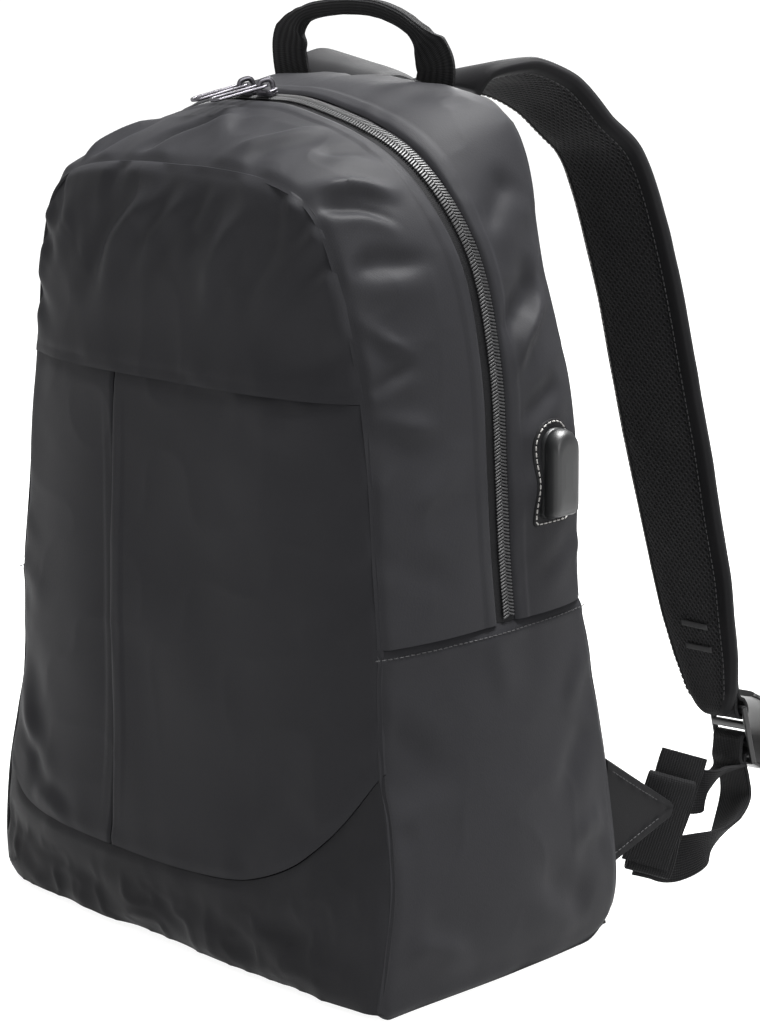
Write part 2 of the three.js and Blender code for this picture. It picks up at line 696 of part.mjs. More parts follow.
function flapLine(height) {
  const left = atHeight(leftEdge[flapRow], height);
  const right = atHeight(rightEdge[flapRow], height);
  const slit = new THREE.Vector3(slitPlace, 0, height);
  return [
    ...evenly(left, slit, cellsLeftOfSlit).slice(0, -1),
    ...evenly(slit, right, cellsAcross - cellsLeftOfSlit),
  ];
}
function curveLine(shift) {
  const [left, right] = [leftEdge[curveRow], rightEdge[curveRow]];
  const places = [
    ...evenly(left, new THREE.Vector3(slitPlace, 0, 0), cellsLeftOfSlit).slice(0, -1),
    ...evenly(new THREE.Vector3(slitPlace, 0, 0), right, cellsAcross - cellsLeftOfSlit),
  ];
  return places.map((place) => new THREE.Vector3(place.x, 0, curvedSeamAt(place.x) + shift));
}

function addUpperPanel() {
  const left = leftEdge.slice(flapRow, shoulderRow + 1);
  const right = rightEdge.slice(flapRow, shoulderRow + 1);
  const height = flapSeamHeight + seamGap / 2;
  left[0] = atHeight(left[0], height);
  right[0] = atHeight(right[0], height);
  const top = [...leftEdge.slice(shoulderRow), ...rightEdge.slice(shoulderRow, -1).reverse()];
  const bottom = evenly(left[0], right[0], cellsAcross);
  const outer = withDepth(gridBetween(bottom, top, left, right), (x, z) => {
    const overFlap = Math.exp(-(((z - height) / flapLipReach) ** 2));
    const across = Math.min(1, Math.abs(x) / frontSeamAt(z).x);
    return frontFace(x, z, frontFoldRows) - flapLip * overFlap * (1 - across ** lipPower);
  });
  addPiece("front_upper_panel", clothSheet(outer, pushed(outer, inwards, clothWall)), bodyCloth);
}

// Share of its full width that the slit opens to, at a share of its length.
const slitOpen = (share) =>
  Math.sin(Math.PI * THREE.MathUtils.clamp((share - slitEnds) / (1 - 2 * slitEnds), 0, 1)) ** 2;

function addPocketPanels() {
  const flap = flapLine(flapSeamHeight - seamGap / 2);
  const curve = curveLine(seamGap);
  const rows = cellsAboveCurve + cellsToFlap;
  const edgeOf = (edge, low, high) => {
    const points = edge.slice(curveRow, flapRow + 1);
    points[0] = low;
    points[rows] = high;
    return points;
  };
  const split = cellsLeftOfSlit;
  const slitEdge = (side) =>
    shares(rows).map((share) => {
      const x = slitPlace + side * (seamGap / 2 + (slitOpening / 4) * slitOpen(share));
      return new THREE.Vector3(x, 0, blend(curve[split].z, flap[split].z, share));
    });
  const depthAt = (side) => (x, z) => {
    const share = THREE.MathUtils.clamp((z - curvedSeamHeight) / (flapSeamHeight - curvedSeamHeight), 0, 1);
    const reach = Math.exp(-(((x - slitPlace) / (slitReach * slitOpening)) ** 2));
    return frontFace(x, z, frontFoldRows) - ((side * slitOpening) / 2) * slitOpen(share) * reach;
  };
  const addHalf = (name, side, low, high, left, right) => {
    const outer = withDepth(gridBetween(low, high, left, right), depthAt(side));
    addPiece(name, clothSheet(outer, pushed(outer, inwards, clothWall)), bodyCloth);
  };
  const leftSlit = slitEdge(-1);
  const rightSlit = slitEdge(1);
  const withEnd = (points, index, end) => points.map((point, k) => (k === index ? end : point));
  addHalf(
    "front_pocket_panel_left",
    -1,
    withEnd(curve.slice(0, split + 1), split, leftSlit[0]),
    withEnd(flap.slice(0, split + 1), split, leftSlit[rows]),
    edgeOf(leftEdge, curve[0], flap[0]),
    leftSlit,
  );
  addHalf(
    "front_pocket_panel_right",
    1,
    withEnd(curve.slice(split), 0, rightSlit[0]),
    withEnd(flap.slice(split), 0, rightSlit[rows]),
    rightSlit,
    edgeOf(rightEdge, curve.at(-1), flap.at(-1)),
  );
}

function addBasePanel() {
  const top = curveLine(-seamGap);
  const left = leftEdge.slice(0, curveRow + 1);
  const right = rightEdge.slice(0, curveRow + 1);
  left[curveRow] = top[0];
  right[curveRow] = top.at(-1);
  const bottom = evenly(left[0], right[0], cellsAcross);
  const outer = withDepth(gridBetween(bottom, top, left, right), (x, z) => frontFace(x, z, baseFoldRows));
  addPiece("front_base_panel", clothSheet(outer, pushed(outer, inwards, clothWall)), bodyCloth);
}

// The back face: a padded panel that stands out a little from its seam.
function backFace(x, z) {
  const seam = backSeamAt(z);
  const across = THREE.MathUtils.clamp(x / seam.x, -1, 1);
  const high = THREE.MathUtils.clamp(z / bagHeight, 0, 1);
  const fullness = (1 - across ** backPower) * (1 - (2 * high - 1) ** backTallPower);
  return seam.y + backBulge * Math.max(0, fullness);
}

const lowerCells = cellsBelowCurve + cellsAboveCurve;
const backSeamShare = shareAtHeight(backSeam, sideSeamHeight);
const lowerBack = [...stretch(backSeam, 0, backSeamShare, lowerCells), backSeam.getPointAt(backSeamShare)];

function addBackPanel() {
  const edgeAt = (extra) => {
    const depth = inset + extra;
    const right = [
      ...lowerBack.slice(0, -1).map((point) => new THREE.Vector3(point.x - depth, point.y, point.z)),
      ...backArch
        .slice(0, archCells / 2 + 1)
        .map((point, k) => point.clone().addScaledVector(backOutward[k], -depth)),
    ];
    const shoulder = lowerCells + cellsToFlap + cellsToShoulder;
    const left = right.map(mirrored);
    const top = [...left.slice(shoulder), ...right.slice(shoulder, -1).reverse()];
    const bottom = evenly(left[0], right[0], cellsAcross);
    return gridBetween(bottom, top, left.slice(0, shoulder + 1), right.slice(0, shoulder + 1));
  };
  const outer = withDepth(edgeAt(0), backFace);
  const inner = withDepth(edgeAt(backPadding * paddingTaper), (x, z) => backSeamAt(z).y - backPadding);
  addPiece("back_panel", clothSheet(outer, inner), mesh);
  return outer;
}

// Underside: flat on the floor, turned up a little at its front and back edges.
function addBottomPanel() {
  const edge = undersideEdge;
  const frontStart = edge[0].y;
  const backEnd = edge.at(-1).y;
  const outer = shares(cellsAcross / 2).map((share) =>
    edge.map((point, j) => {
      const along = j / cellsUnder;
      const x = blend(-1, 1, share) * (point.x - inset);
      const front = frontFace(x, frontSeam.getPointAt(0).z, baseFoldRows) + clothWall + seamGap;
      const y = front + ((point.y - frontStart) / (backEnd - frontStart)) * (backEnd - front);
      const highest = along < 0.5 ? clothWall : lowerBack[0].z - inset - seamGap;
      return new THREE.Vector3(x, y, Math.min(point.z, highest));
    }),
  );
  addPiece("bottom_panel", clothSheet(outer, pushed(outer, up, clothWall)), bodyCloth);
}

// Lower side: from the floor to the side seam, between the front and the back seam.
function addSidePanel(side) {
  const sign = side === "right" ? 1 : -1;
  const front = lowerFrontEdge(side);
  const back = lowerBack.map((point) => point.clone());
  const under = [...undersideEdge];
  under[0] = front[0];
  under[cellsUnder] = back[0];
  const height = sideSeamHeight - seamGap / 2;
  front[lowerCells].z = height;
  back[lowerCells].z = height;
  const zipFoot = zipArch[0];
  const top = evenly(front[lowerCells], back[lowerCells], cellsUnder).map((point) => {
    const along = (point.y - front[lowerCells].y) / (back[lowerCells].y - front[lowerCells].y);
    const zipAlong = (zipFoot.y - front[lowerCells].y) / (back[lowerCells].y - front[lowerCells].y);
    const chord = blend(front[lowerCells].x, back[lowerCells].x, zipAlong);
    return point.setX(point.x + (zipFoot.x - chord) * Math.sin(Math.PI * along));
  });
  const grid = gridBetween(under, top, front, back);
  const outer = grid.map((column, i) =>
    column.map((point, j) => {
      const [along, tall] = [i / cellsUnder, j / lowerCells];
      const window = 4 * along * (1 - along) * Math.sin(Math.PI * tall) ** sidePower;
      const bulge = j % lowerCells ? sideBulge * window : 0;
      return new THREE.Vector3(sign * (point.x + bulge), point.y, point.z);
    }),
  );
  const wall = new THREE.Vector3(-sign, 0, 0);
  addPiece(`side_panel_${side}`, clothSheet(outer, pushed(outer, wall, clothWall)), bodyCloth);
}

addUpperPanel();
addPocketPanels();
addBasePanel();
addSidePanel("right");
addSidePanel("left");
addBottomPanel();
const backOuter = addBackPanel();

// Zip: its tape fills the slot between the gussets and carries the raised coil.
const zipEdge = zipSlot / 2 - seamGap;
const tapeTop = -0.6;
const coilSlope = 0.8;
const zipSection = [
  [-zipEdge, tapeTop - tapeThickness],
  [zipEdge, tapeTop - tapeThickness],
  [zipEdge, tapeTop],
  [coilWidth / 2, tapeTop],
  [coilWidth / 2 - coilSlope, tapeTop + coilHeight],
  [coilSlope - coilWidth / 2, tapeTop + coilHeight],
  [-coilWidth / 2, tapeTop],
  [-zipEdge, tapeTop],
];
const zipRings = zipArch.map((point, k) =>
  zipSection.map(([across, high]) => {
    const at = point.clone().addScaledVector(zipAcross[k], across).addScaledVector(zipOutward[k], high);
    if (k === 0 || k === zipArch.length - 1) at.z = sideSeamHeight + seamGap / 2;
    return at;
  }),
);
addPiece("zipper_chain", sweptSolid(zipRings, zipSection), coilPlastic);

// Sliders, their crowns and the pulls. Each stands on the coil at the top of the arch.
const middle = archCells / 2;
const topCell = zipArch[middle - 1].distanceTo(zipArch[middle + 1]) / 2;
function zipFrameAt(x) {
  const k = middle - Math.sign(x);
  const share = Math.abs(x) / topCell;
  const origin = zipArch[middle].clone().lerp(zipArch[k], share);
  const outward = zipOutward[middle].clone().lerp(zipOutward[k], share).normalize();
  return { origin, outward };
}

function block(length, width, height, bevel) {
  const shape = new THREE.Shape();
  const [x, y, r] = [length / 2, width / 2, bevel];
  shape.moveTo(-x + r, -y).lineTo(x - r, -y).lineTo(x, -y + r).lineTo(x, y - r);
  shape.lineTo(x - r, y).lineTo(-x + r, y).lineTo(-x, y - r).lineTo(-x, -y + r);
  shape.closePath();
  return new THREE.ExtrudeGeometry(shape, { depth: height, bevelEnabled: false });
}

// Solids for joining and cutting, from geometry whose shared corners are merged.
function solidOf(geometry) {
  const bare = geometry.index ? geometry.toNonIndexed() : geometry.clone();
  bare.deleteAttribute("normal");
  bare.deleteAttribute("uv");
  const merged = mergeVertices(bare, weldGap);
  return new wasm.Manifold(
    new wasm.Mesh({
      numProp: 3,
      vertProperties: new Float32Array(merged.attributes.position.array),
      triVerts: new Uint32Array(merged.index.array),
    }),
  );
}
function geometryOf(solid) {
  const found = solid.getMesh();
  const geometry = new THREE.BufferGeometry();
  geometry.setAttribute("position", new THREE.BufferAttribute(found.vertProperties, 3));
  geometry.setIndex(new THREE.BufferAttribute(found.triVerts, 1));
  geometry.computeVertexNormals();
  return geometry;
}

const pullAngle = THREE.MathUtils.degToRad(pullTurn);
const pullLevel = new THREE.Vector3(-Math.cos(pullAngle), -Math.sin(pullAngle), 0);
const sliderRest = tapeTop + coilHeight + seamGap;
const hingeHeight = sliderRest + sliderHeight + pullClearance + pullThickness / 2;

function addSlider(name, place) {
  const { origin, outward } = zipFrameAt(place);
  const along = new THREE.Vector3(1, 0, 0);
  along.addScaledVector(outward, -along.dot(outward)).normalize();
  const across = outward.clone().cross(along);
  const body = block(sliderLength, sliderWidth, sliderHeight, sliderWidth / 4);
  body.translate(0, 0, sliderRest);
  // The crown is a staple over the hinge, in line with the pull.
  const window = pullThickness + 2 * pullClearance;
  const half = crownSpan / 2;
  const staple = new THREE.Shape();
  staple.moveTo(-half, 0).lineTo(-half + crownWire, 0).lineTo(-half + crownWire, window);
  staple.lineTo(half - crownWire, window).lineTo(half - crownWire, 0).lineTo(half, 0);
  staple.lineTo(half, window + crownWire / 2).lineTo(half - crownWire / 2, window + crownWire);
  staple.lineTo(-half + crownWire / 2, window + crownWire).lineTo(-half, window + crownWire / 2);
  staple.closePath();
  const crown = new THREE.ExtrudeGeometry(staple, { depth: crownWidth, bevelEnabled: false });
  crown.translate(0, 0, -crownWidth / 2);
  crown.rotateX(Math.PI / 2);
  crown.rotateZ(Math.PI + pullAngle);
  crown.translate(0, 0, sliderRest + sliderHeight);
  const frame = new THREE.Matrix4().makeBasis(along, across, outward).setPosition(origin);
  const joined = geometryOf(solidOf(body).add(solidOf(crown)));
  addPiece(name, joined.applyMatrix4(frame), pullMetal);
  const top = shares(crownCells).flatMap((u) =>
    shares(crownCells).map((v) => {
      const [x, y] = [(u - 0.5) * sliderLength, (v - 0.5) * sliderWidth];
      return new THREE.Vector3(x, y, sliderRest + sliderHeight).applyMatrix4(frame);
    }),
  );
  return { frame, outward, top };
}

// Places on a grid's cells between two of its columns, close together.
function placesOn(grid, first, last) {
  const places = [];
  for (let k = first; k < last; k += 1) {
    for (let j = 0; j < grid[k].length - 1; j += 1) {
      shares(partsOfCell).forEach((u) =>
        shares(partsOfCell).forEach((v) => {
          const low = grid[k][j].clone().lerp(grid[k + 1][j], u);
          places.push(low.lerp(grid[k][j + 1].clone().lerp(grid[k + 1][j + 1], u), v));
        }),
      );
    }
  }
  return places;
}
const pullReach = Math.ceil((pullLength + sliderSpacing) / topCell);
const frontTop = placesOn(frontGusset.outer, middle - pullReach, middle + pullReach);
const rearTop = placesOn(rearGusset.outer, middle - cellsAcross / 2, middle + cellsAcross / 2);

// The pull droops from level until it lies on the cloth of the front gusset.
function restingDroop(hinge, level, hingeAxis, sliderTop) {
  const hanging = -90;
  const step = 0.5;
  for (let degrees = pullDroop; degrees > hanging; degrees -= step) {
    const along = level.clone().applyAxisAngle(hingeAxis, THREE.MathUtils.degToRad(degrees));
    const normal = along.clone().cross(hingeAxis).normalize();
    const clear = [...frontTop, ...sliderTop].every((place) => {
      const away = place.clone().sub(hinge);
      const under = away.dot(along) > 0 && away.dot(along) < pullLength + pullClearance;
      const beside = Math.abs(away.dot(hingeAxis)) < pullWidth / 2 + pullClearance;
      return !(under && beside) || away.dot(normal) < -pullThickness / 2 - pullClearance;
    });
    if (clear) return degrees;
  }
  return hanging;
}

function addPull(name, slider) {
  const hinge = new THREE.Vector3(0, 0, hingeHeight).applyMatrix4(slider.frame);
  const level = pullLevel.clone().transformDirection(slider.frame);
  const hingeAxis = slider.outward.clone().cross(level).normalize();
  const droop = THREE.MathUtils.degToRad(restingDroop(hinge, level, hingeAxis, slider.top));
  const along = level.clone().applyAxisAngle(hingeAxis, droop);
  const normal = along.clone().cross(hingeAxis).normalize();
  const [half, end, rim] = [pullWidth / 2, pullLength, pullRim];
  const outline = new THREE.Shape();
  const bar = pullThickness / 2;
  outline.moveTo(-bar, -half + bar).lineTo(0, -half).lineTo(end - half, -half);
  outline.absarc(end - half, 0, half, -Math.PI / 2, Math.PI / 2, false);
  outline.lineTo(0, half).lineTo(-bar, half - bar).closePath();
  const slot = new THREE.Path();
  slot.moveTo(bar, -half + rim).lineTo(bar, half - rim).lineTo(end - half, half - rim);
  slot.absarc(end - half, 0, half - rim, Math.PI / 2, -Math.PI / 2, true);
  slot.closePath();
  outline.holes.push(slot);
  const flat = new THREE.ExtrudeGeometry(outline, {
    depth: pullThickness,
    bevelEnabled: false,
    curveSegments: ringCells,
  });
  flat.translate(0, 0, -pullThickness / 2);
  const side = normal.clone().cross(along);
  flat.applyMatrix4(new THREE.Matrix4().makeBasis(along, side, normal).setPosition(hinge));
  // The hinge turns the pull up from the cloth by the right-hand rule.
  const pull = addPiece(name, flat, pullMetal);
  pull.userData.hinge = { place: hinge.toArray(), axis: hingeAxis.negate().toArray() };
}

const halfSpacing = sliderSpacing / 2;
["right", "left"].forEach((side, k) => {
  const slider = addSlider(`zipper_slider_${side}`, sliderPlace + (k ? -halfSpacing : halfSpacing));
  addPull(`zipper_pull_${side}`, slider);
});

// A ribbon is swept along a smooth line; its width leans and turns as its rows say.
const placeOf = (row) => new THREE.Vector3(row.wide * halfBase, row.deep * halfDepth, row.high * bagHeight);
function ribbonFrames(rows, count, start = placeOf(rows[0])) {
  const places = [start, ...rows.slice(1).map(placeOf)];
  const line = new THREE.CatmullRomCurve3(places, false, "catmullrom", splineTension);
  return shares(count).map((share) => {
    const at = share * (rows.length - 1);
    const low = Math.min(rows.length - 2, Math.floor(at));
    const between = (key) => blend(rows[low][key], rows[low + 1][key], at - low);
    const [lean, turn] = [between("lean"), between("turn")].map(THREE.MathUtils.degToRad);
    const wanted = new THREE.Vector3(
      Math.cos(turn) * Math.cos(lean),
      Math.sin(turn) * Math.cos(lean),
      Math.sin(lean),
    );
    const across = wanted.normalize();
    return {
      centre: line.getPoint(share),
      across,
      normal: across.clone().cross(line.getTangent(share)).normalize(),
      width: between("width"),
      thick: between("thick"),
    };
  });
}
const ribbonRings = (frames, section, width, thickness) =>
  frames.map((frame) =>
    section.map(([across, thick]) =>
      frame.centre
        .clone()
        .addScaledVector(frame.across, (across * width * frame.width) / 2)
        .addScaledVector(frame.normal, (thick * thickness * frame.thick) / 2),
    ),
  );

function addPair(name, geometry, finish) {
  addPiece(`${name}_right`, geometry, finish);
  const other = geometry.index ? geometry.clone().toNonIndexed() : geometry.clone();
  other.scale(-1, 1, 1);
  const spots = other.attributes.position;
  const placeAt = (_, k) => new THREE.Vector3().fromBufferAttribute(spots, k);
  const points = Array.from({ length: spots.count }, placeAt);
  addPiece(`${name}_left`, closedSolid(points, points.map((_, k) => k)), finish);
}

const edgeShare = strapEdge / strapThickness;
const flatShare = 0.82;
const strapSection = [
  [-1, -edgeShare],
  [-flatShare, -1],
  [flatShare, -1],
  [1, -edgeShare],
  [1, edgeShare],
  [flatShare, 1],
  [-flatShare, 1],
  [-1, edgeShare],
];
const flatSection = [
  [-1, -1],
  [1, -1],
  [1, 1],
  [-1, 1],
];
// The strap's root is sewn against the top of the back panel.
const strapRoot = placeOf(strapRows[0]);
const behindRoot = placesOn(backOuter, cellsAcross / 2, cellsAcross).filter(
  (place) =>
    Math.abs(place.x - strapRoot.x) < strapWidth / 2 && Math.abs(place.z - strapRoot.z) < strapThickness / 2,
);
strapRoot.y = Math.max(...behindRoot.map((place) => place.y)) + seamGap;
const strapFrames = ribbonFrames(strapRows, strapCells, strapRoot);
const strapRings = ribbonRings(strapFrames, strapSection, strapWidth, strapThickness);
addPair("shoulder_strap", sweptSolid(strapRings, strapSection), mesh);

// Grab handle: flat webbing feet that fold into a round grip.
const handleSection = [
  [-1, -0.5],
  [-0.7, -1],
  [0.7, -1],
  [1, -0.5],
  [1, 0.5],
  [0.7, 1],
  [-0.7, 1],
  [-1, 0.5],
];
const handleRows = [
  { reach: -1, rise: 0, fold: 0 },
  { reach: -1.04, rise: 0.25, fold: 0 },
  { reach: -1.0, rise: 0.52, fold: 0.35 },
  { reach: -0.86, rise: 0.73, fold: 1 },
  { reach: -0.58, rise: 0.84, fold: 1 },
  { reach: -0.2, rise: 0.88, fold: 1 },
  { reach: 0.2, rise: 0.84, fold: 1 },
  { reach: 0.5, rise: 0.72, fold: 1 },
  { reach: 0.74, rise: 0.56, fold: 1 },
  { reach: 0.92, rise: 0.4, fold: 0.8 },
  { reach: 1, rise: 0.22, fold: 0.35 },
  { reach: 1, rise: 0, fold: 0 },
];

function handleGeometry() {
  const deep = backArch[middle].y - webbingThickness;
  const underFoot = rearTop.filter(
    (place) =>
      Math.abs(Math.abs(place.x) - handleReach) < webbingWidth / 2 + seamGap &&
      Math.abs(place.y - deep) < 2 * webbingThickness,
  );
  const footHeight = Math.max(...underFoot.map((place) => place.z)) + seamGap;
  const places = handleRows.map(
    (row) => new THREE.Vector3(row.reach * handleReach, deep, footHeight + row.rise * handleRise),
  );
  const line = new THREE.CatmullRomCurve3(places, false, "catmullrom", splineTension);
  const rings = shares(handleCells).map((share) => {
    const at = share * (handleRows.length - 1);
    const low = Math.min(handleRows.length - 2, Math.floor(at));
    const fold = blend(handleRows[low].fold, handleRows[low + 1].fold, at - low);
    const along = line.getTangent(share);
    const across = along.clone().cross(inwards).normalize();
    const width = blend(webbingWidth, gripWidth, fold);
    const thick = blend(webbingThickness, gripThickness, fold);
    return handleSection.map(([wide, deep]) =>
      line
        .getPoint(share)
        .addScaledVector(across, (wide * width) / 2)
        .addScaledVector(inwards, (deep * thick) / 2),
    );
  });
  return sweptSolid(rings, handleSection);
}
addPiece("grab_handle", handleGeometry(), webbing);

// Frame of a flat plate or strip: a place, its width direction, its way down and its outward normal.
function frameOf(place, across, down) {
  const wide = across.clone().normalize();
  const long = down.clone().addScaledVector(wide, -down.dot(wide)).normalize();
  return { place, wide, long, normal: wide.clone().cross(long) };
}
const inFrame = (frame, wide, long, out) =>
  frame.place
    .clone()
    .addScaledVector(frame.wide, wide)
    .addScaledVector(frame.long, long)
    .addScaledVector(frame.normal, out);

// Webbing through listed places, each with the direction that its width takes there.
function webbingStrip(rows, cellsBetween) {
  const line = new THREE.CatmullRomCurve3(rows.map((row) => row.place), false, "centripetal");
  const rings = shares(cellsBetween * (rows.length - 1)).map((share) => {
    const at = share * (rows.length - 1);
    const low = Math.min(rows.length - 2, Math.floor(at));
    const along = line.getTangent(share);
    const across = rows[low].wide.clone().lerp(rows[low + 1].wide, at - low);
    across.addScaledVector(along, -across.dot(along)).normalize();
    const normal = across.clone().cross(along);
    return flatSection.map(([wide, thick]) =>
      line
        .getPoint(share)
        .addScaledVector(across, (wide * webbingWidth) / 2)
        .addScaledVector(normal, (thick * webbingThickness) / 2),
    );
  });
  return sweptSolid(rings, flatSection);
}

// Ladder buckle behind the strap's tip: a plate with three slots, and a finger bow from its lower end.
const strapTip = strapFrames.at(-1);
const strapDown = strapTip.across.clone().cross(strapTip.normal).negate();
const tipHalf = (strapThickness * strapTip.thick) / 2;
const plate = frameOf(strapTip.centre.clone(), strapTip.across, strapDown);
plate.place.copy(inFrame(plate, 0, -buckleOverlap, tipHalf + webbingThickness + 3 * seamGap));

function buckleGeometry() {
  const outer = bowRows.map((row) => new THREE.Vector2(row.out * bowRise, row.down * buckleLength));
  const inner = outer.map((point, k) => {
    const way = outer[Math.min(outer.length - 1, k + 1)].clone().sub(outer[Math.max(0, k - 1)]).normalize();
    return new THREE.Vector2(point.x + way.y * bowThickness, point.y - way.x * bowThickness);
  });
  const outline = [
    new THREE.Vector2(0, 0),
    new THREE.Vector2(0, buckleLength),
    ...outer,
    ...inner.reverse(),
    new THREE.Vector2(buckleThickness, buckleLength - buckleThickness / 2),
    new THREE.Vector2(buckleThickness, 0),
  ];
  const side = new THREE.Shape(outline);
  const bent = new THREE.ExtrudeGeometry(side, { depth: buckleWidth, bevelEnabled: false });
  bent.translate(0, 0, -buckleWidth / 2);
  const slots = slotRows.map((row) => {
    const long = row.long * buckleSlot;
    const cut = new THREE.BoxGeometry(2 * buckleThickness, long, webbingWidth + 2 * webbingPlay);
    return solidOf(cut.translate(buckleThickness / 2, row.down * buckleLength + long / 2, 0));
  });
  const open = slots.reduce((solid, slot) => solid.subtract(slot), solidOf(bent));
  const frame = new THREE.Matrix4().makeBasis(plate.normal, plate.long, plate.wide.clone().negate());
  return geometryOf(open).applyMatrix4(frame.setPosition(plate.place));
}
addPair("ladder_buckle", buckleGeometry(), buckleThermoplastic);

// Webbing sewn to the strap's tip and looped round the plate's upper bar.
const onPlate = (row) => ({ place: inFrame(plate, 0, row.down, row.out), wide: plate.wide });
function onStrap(station, layer) {
  const frame = strapFrames.at(station);
  const half = (strapThickness * frame.thick) / 2;
  const out = half + (layer + 0.5) * (webbingThickness + seamGap) + seamGap / 2;
  return { place: frame.centre.clone().addScaledVector(frame.normal, out), wide: frame.across };
}
const loop = [onStrap(-3, 0), onStrap(-2, 0), ...loopRows.map(onPlate), onStrap(-2, 1), onStrap(-3, 1)];
addPair("buckle_loop", webbingStrip(loop, 2), webbing);

// Free end of the webbing, folded down, up and down again in front of itself.
const tail = frameOf(placeOf(tailSpot), tailAcross, tailDown);
const tailRows = [
  { long: 0, bend: 0, layer: 0, shift: 0 },
  { long: 0.5, bend: 0, layer: 0, shift: 0 },
  { long: 1, bend: -1.5, layer: 0, shift: -0.1 },
  { long: 1, bend: -0.5, layer: 0, shift: -0.1 },
  { long: 1, bend: -0.15, layer: 0.15, shift: -0.1 },
  { long: 1, bend: 0, layer: 0.5, shift: -0.1 },
  { long: 1, bend: -0.15, layer: 0.85, shift: -0.1 },
  { long: 1, bend: -0.5, layer: 1, shift: -0.1 },
  { long: 1, bend: -1.5, layer: 1, shift: -0.1 },
  { long: 0.6, bend: 0, layer: 1, shift: -0.5 },
  { long: 0.2, bend: 2.6, layer: 1, shift: -0.9 },
  { long: 0.2, bend: 0.6, layer: 1, shift: -0.9 },
  { long: 0.2, bend: 0.18, layer: 1.18, shift: -0.9 },
  { long: 0.2, bend: 0, layer: 1.6, shift: -0.9 },
  { long: 0.2, bend: 0.18, layer: 2.02, shift: -0.9 },
  { long: 0.2, bend: 0.6, layer: 2.2, shift: -0.9 },
  { long: 0.2, bend: 2.6, layer: 2.2, shift: -0.9 },
  { long: 0.93, bend: 0, layer: 2, shift: -1 },
];
const tailPlace = (row) =>
  inFrame(
    tail,
    row.shift * tailShift,
    row.long * tailLength + row.bend * layerSpacing,
    -row.layer * layerSpacing,
  );
const tailLayers = tailRows.map((row) => ({ place: tailPlace(row), wide: tail.wide }));
addPair("webbing_tail", webbingStrip(tailLayers, 1), webbing);

// One strand comes from behind the folded tail, turns round the lock bar and runs back to the tail.
const strand = (row) => {
  const [lean, turn] = [row.lean, row.turn].map(THREE.MathUtils.degToRad);
  const flat = Math.cos(lean);
  const wide = new THREE.Vector3(Math.cos(turn) * flat, Math.sin(turn) * flat, Math.sin(lean));
  return { place: placeOf(row), wide };
};
const behindTail = (end) => (row) => ({
  place: inFrame(tail, row.wide * webbingWidth, end * tailLength, row.out * webbingThickness),
  wide: tail.long.clone().negate(),
});
const adjuster = [
  ...behindTailRows.map(behindTail(loadEnd)),
  ...loadRows.map(strand),
  ...lockRows.map(onPlate),
  ...freeRows.map(strand),
  ...behindTailRows.map(behindTail(freeEnd)).reverse(),
];
addPair("adjuster_webbing", webbingStrip(adjuster, 2), webbing);

// Tab of doubled cloth behind the back panel's edge, in the plane of the side.
function tabGeometry() {
  const low = tabFoot.low * bagHeight;
  const high = tabFoot.high * bagHeight;
  const foot = evenly(new THREE.Vector2(0, high), new THREE.Vector2(0, low), cellsBelowCurve);
  const side = Math.min(...foot.map((point) => backSeamAt(point.y).x)) - inset - tabThickness / 2;
  foot.forEach((point) => point.setX(backFace(side, point.y) + 2 * seamGap));
  const tip = tabRows.map((row) => new THREE.Vector2(row.deep * halfDepth, row.high * bagHeight));
  const outline = new THREE.Shape([...foot, ...tip]);
  const flat = new THREE.ExtrudeGeometry(outline, { depth: tabThickness, bevelEnabled: false });
  flat.translate(0, 0, -tabThickness / 2);
  const frame = new THREE.Matrix4().makeBasis(inwards, up, new THREE.Vector3(1, 0, 0));
  return flat.applyMatrix4(frame.setPosition(side, 0, 0));
}
addPair("strap_tab", tabGeometry(), bodyCloth);

// Cover of the outlet on the right rear gusset: an arched pad that stands off the cloth.
function outletFrame() {
  const column = rearGusset.outer.findIndex((row) => row[0].z > outletLevel);
  const at = Math.floor(outletShare * cellsOverGusset);
  const grid = rearGusset.outer;
  const [low, high] = [grid[column - 1], grid[column]];
  const share = (outletLevel - low[at].z) / (high[at].z - low[at].z);
  const place = low[at].clone().lerp(high[at], share);
  const upAlong = high[at].clone().sub(low[at]).normalize();
  const across = low[at + 1].clone().sub(low[at - 1]).normalize();
  const outward = across.clone().cross(upAlong);
  outward.multiplyScalar(Math.sign(outward.x)).normalize();
  const wide = upAlong.clone().cross(outward).normalize();
  const nearby = grid.slice(column - outletColumns, column + outletColumns).flat();
  const reach = outletHeight / 2 + outletWidth;
  const rise = nearby
    .filter((point) => point.distanceTo(place) < reach)
    .map((point) => point.clone().sub(place).dot(outward));
  return { place: place.addScaledVector(outward, Math.max(...rise) + seamGap), wide, upAlong, outward };
}
function outletGeometry() {
  const frame = outletFrame();
  const [half, tall] = [outletWidth / 2, outletHeight / 2];
  const padAt = (scale) => {
    const pad = new THREE.Shape();
    const [x, y] = [half * scale, tall - half * (1 - scale)];
    pad.moveTo(-x, -y).lineTo(x, -y).lineTo(x, y - x);
    pad.absarc(0, y - x, x, 0, Math.PI, false);
    return pad.closePath();
  };
  const levels = [
    { scale: 1, out: 0 },
    { scale: 0.96, out: 0.55 },
    { scale: 0.86, out: 0.85 },
    { scale: 0.62, out: 1 },
  ];
  const rings = levels.map((level) =>
    padAt(level.scale)
      .extractPoints(outletCells)
      .shape.slice(0, -1)
      .map((point) =>
        frame.place
          .clone()
          .addScaledVector(frame.wide, point.x)
          .addScaledVector(frame.upAlong, point.y)
          .addScaledVector(frame.outward, level.out * outletDepth),
      ),
  );
  const flat = padAt(1).extractPoints(outletCells).shape.slice(0, -1).map((point) => [point.x, point.y]);
  return sweptSolid(rings, flat);
}
addPiece("usb_port", outletGeometry(), outletRubber);

export default backpack;
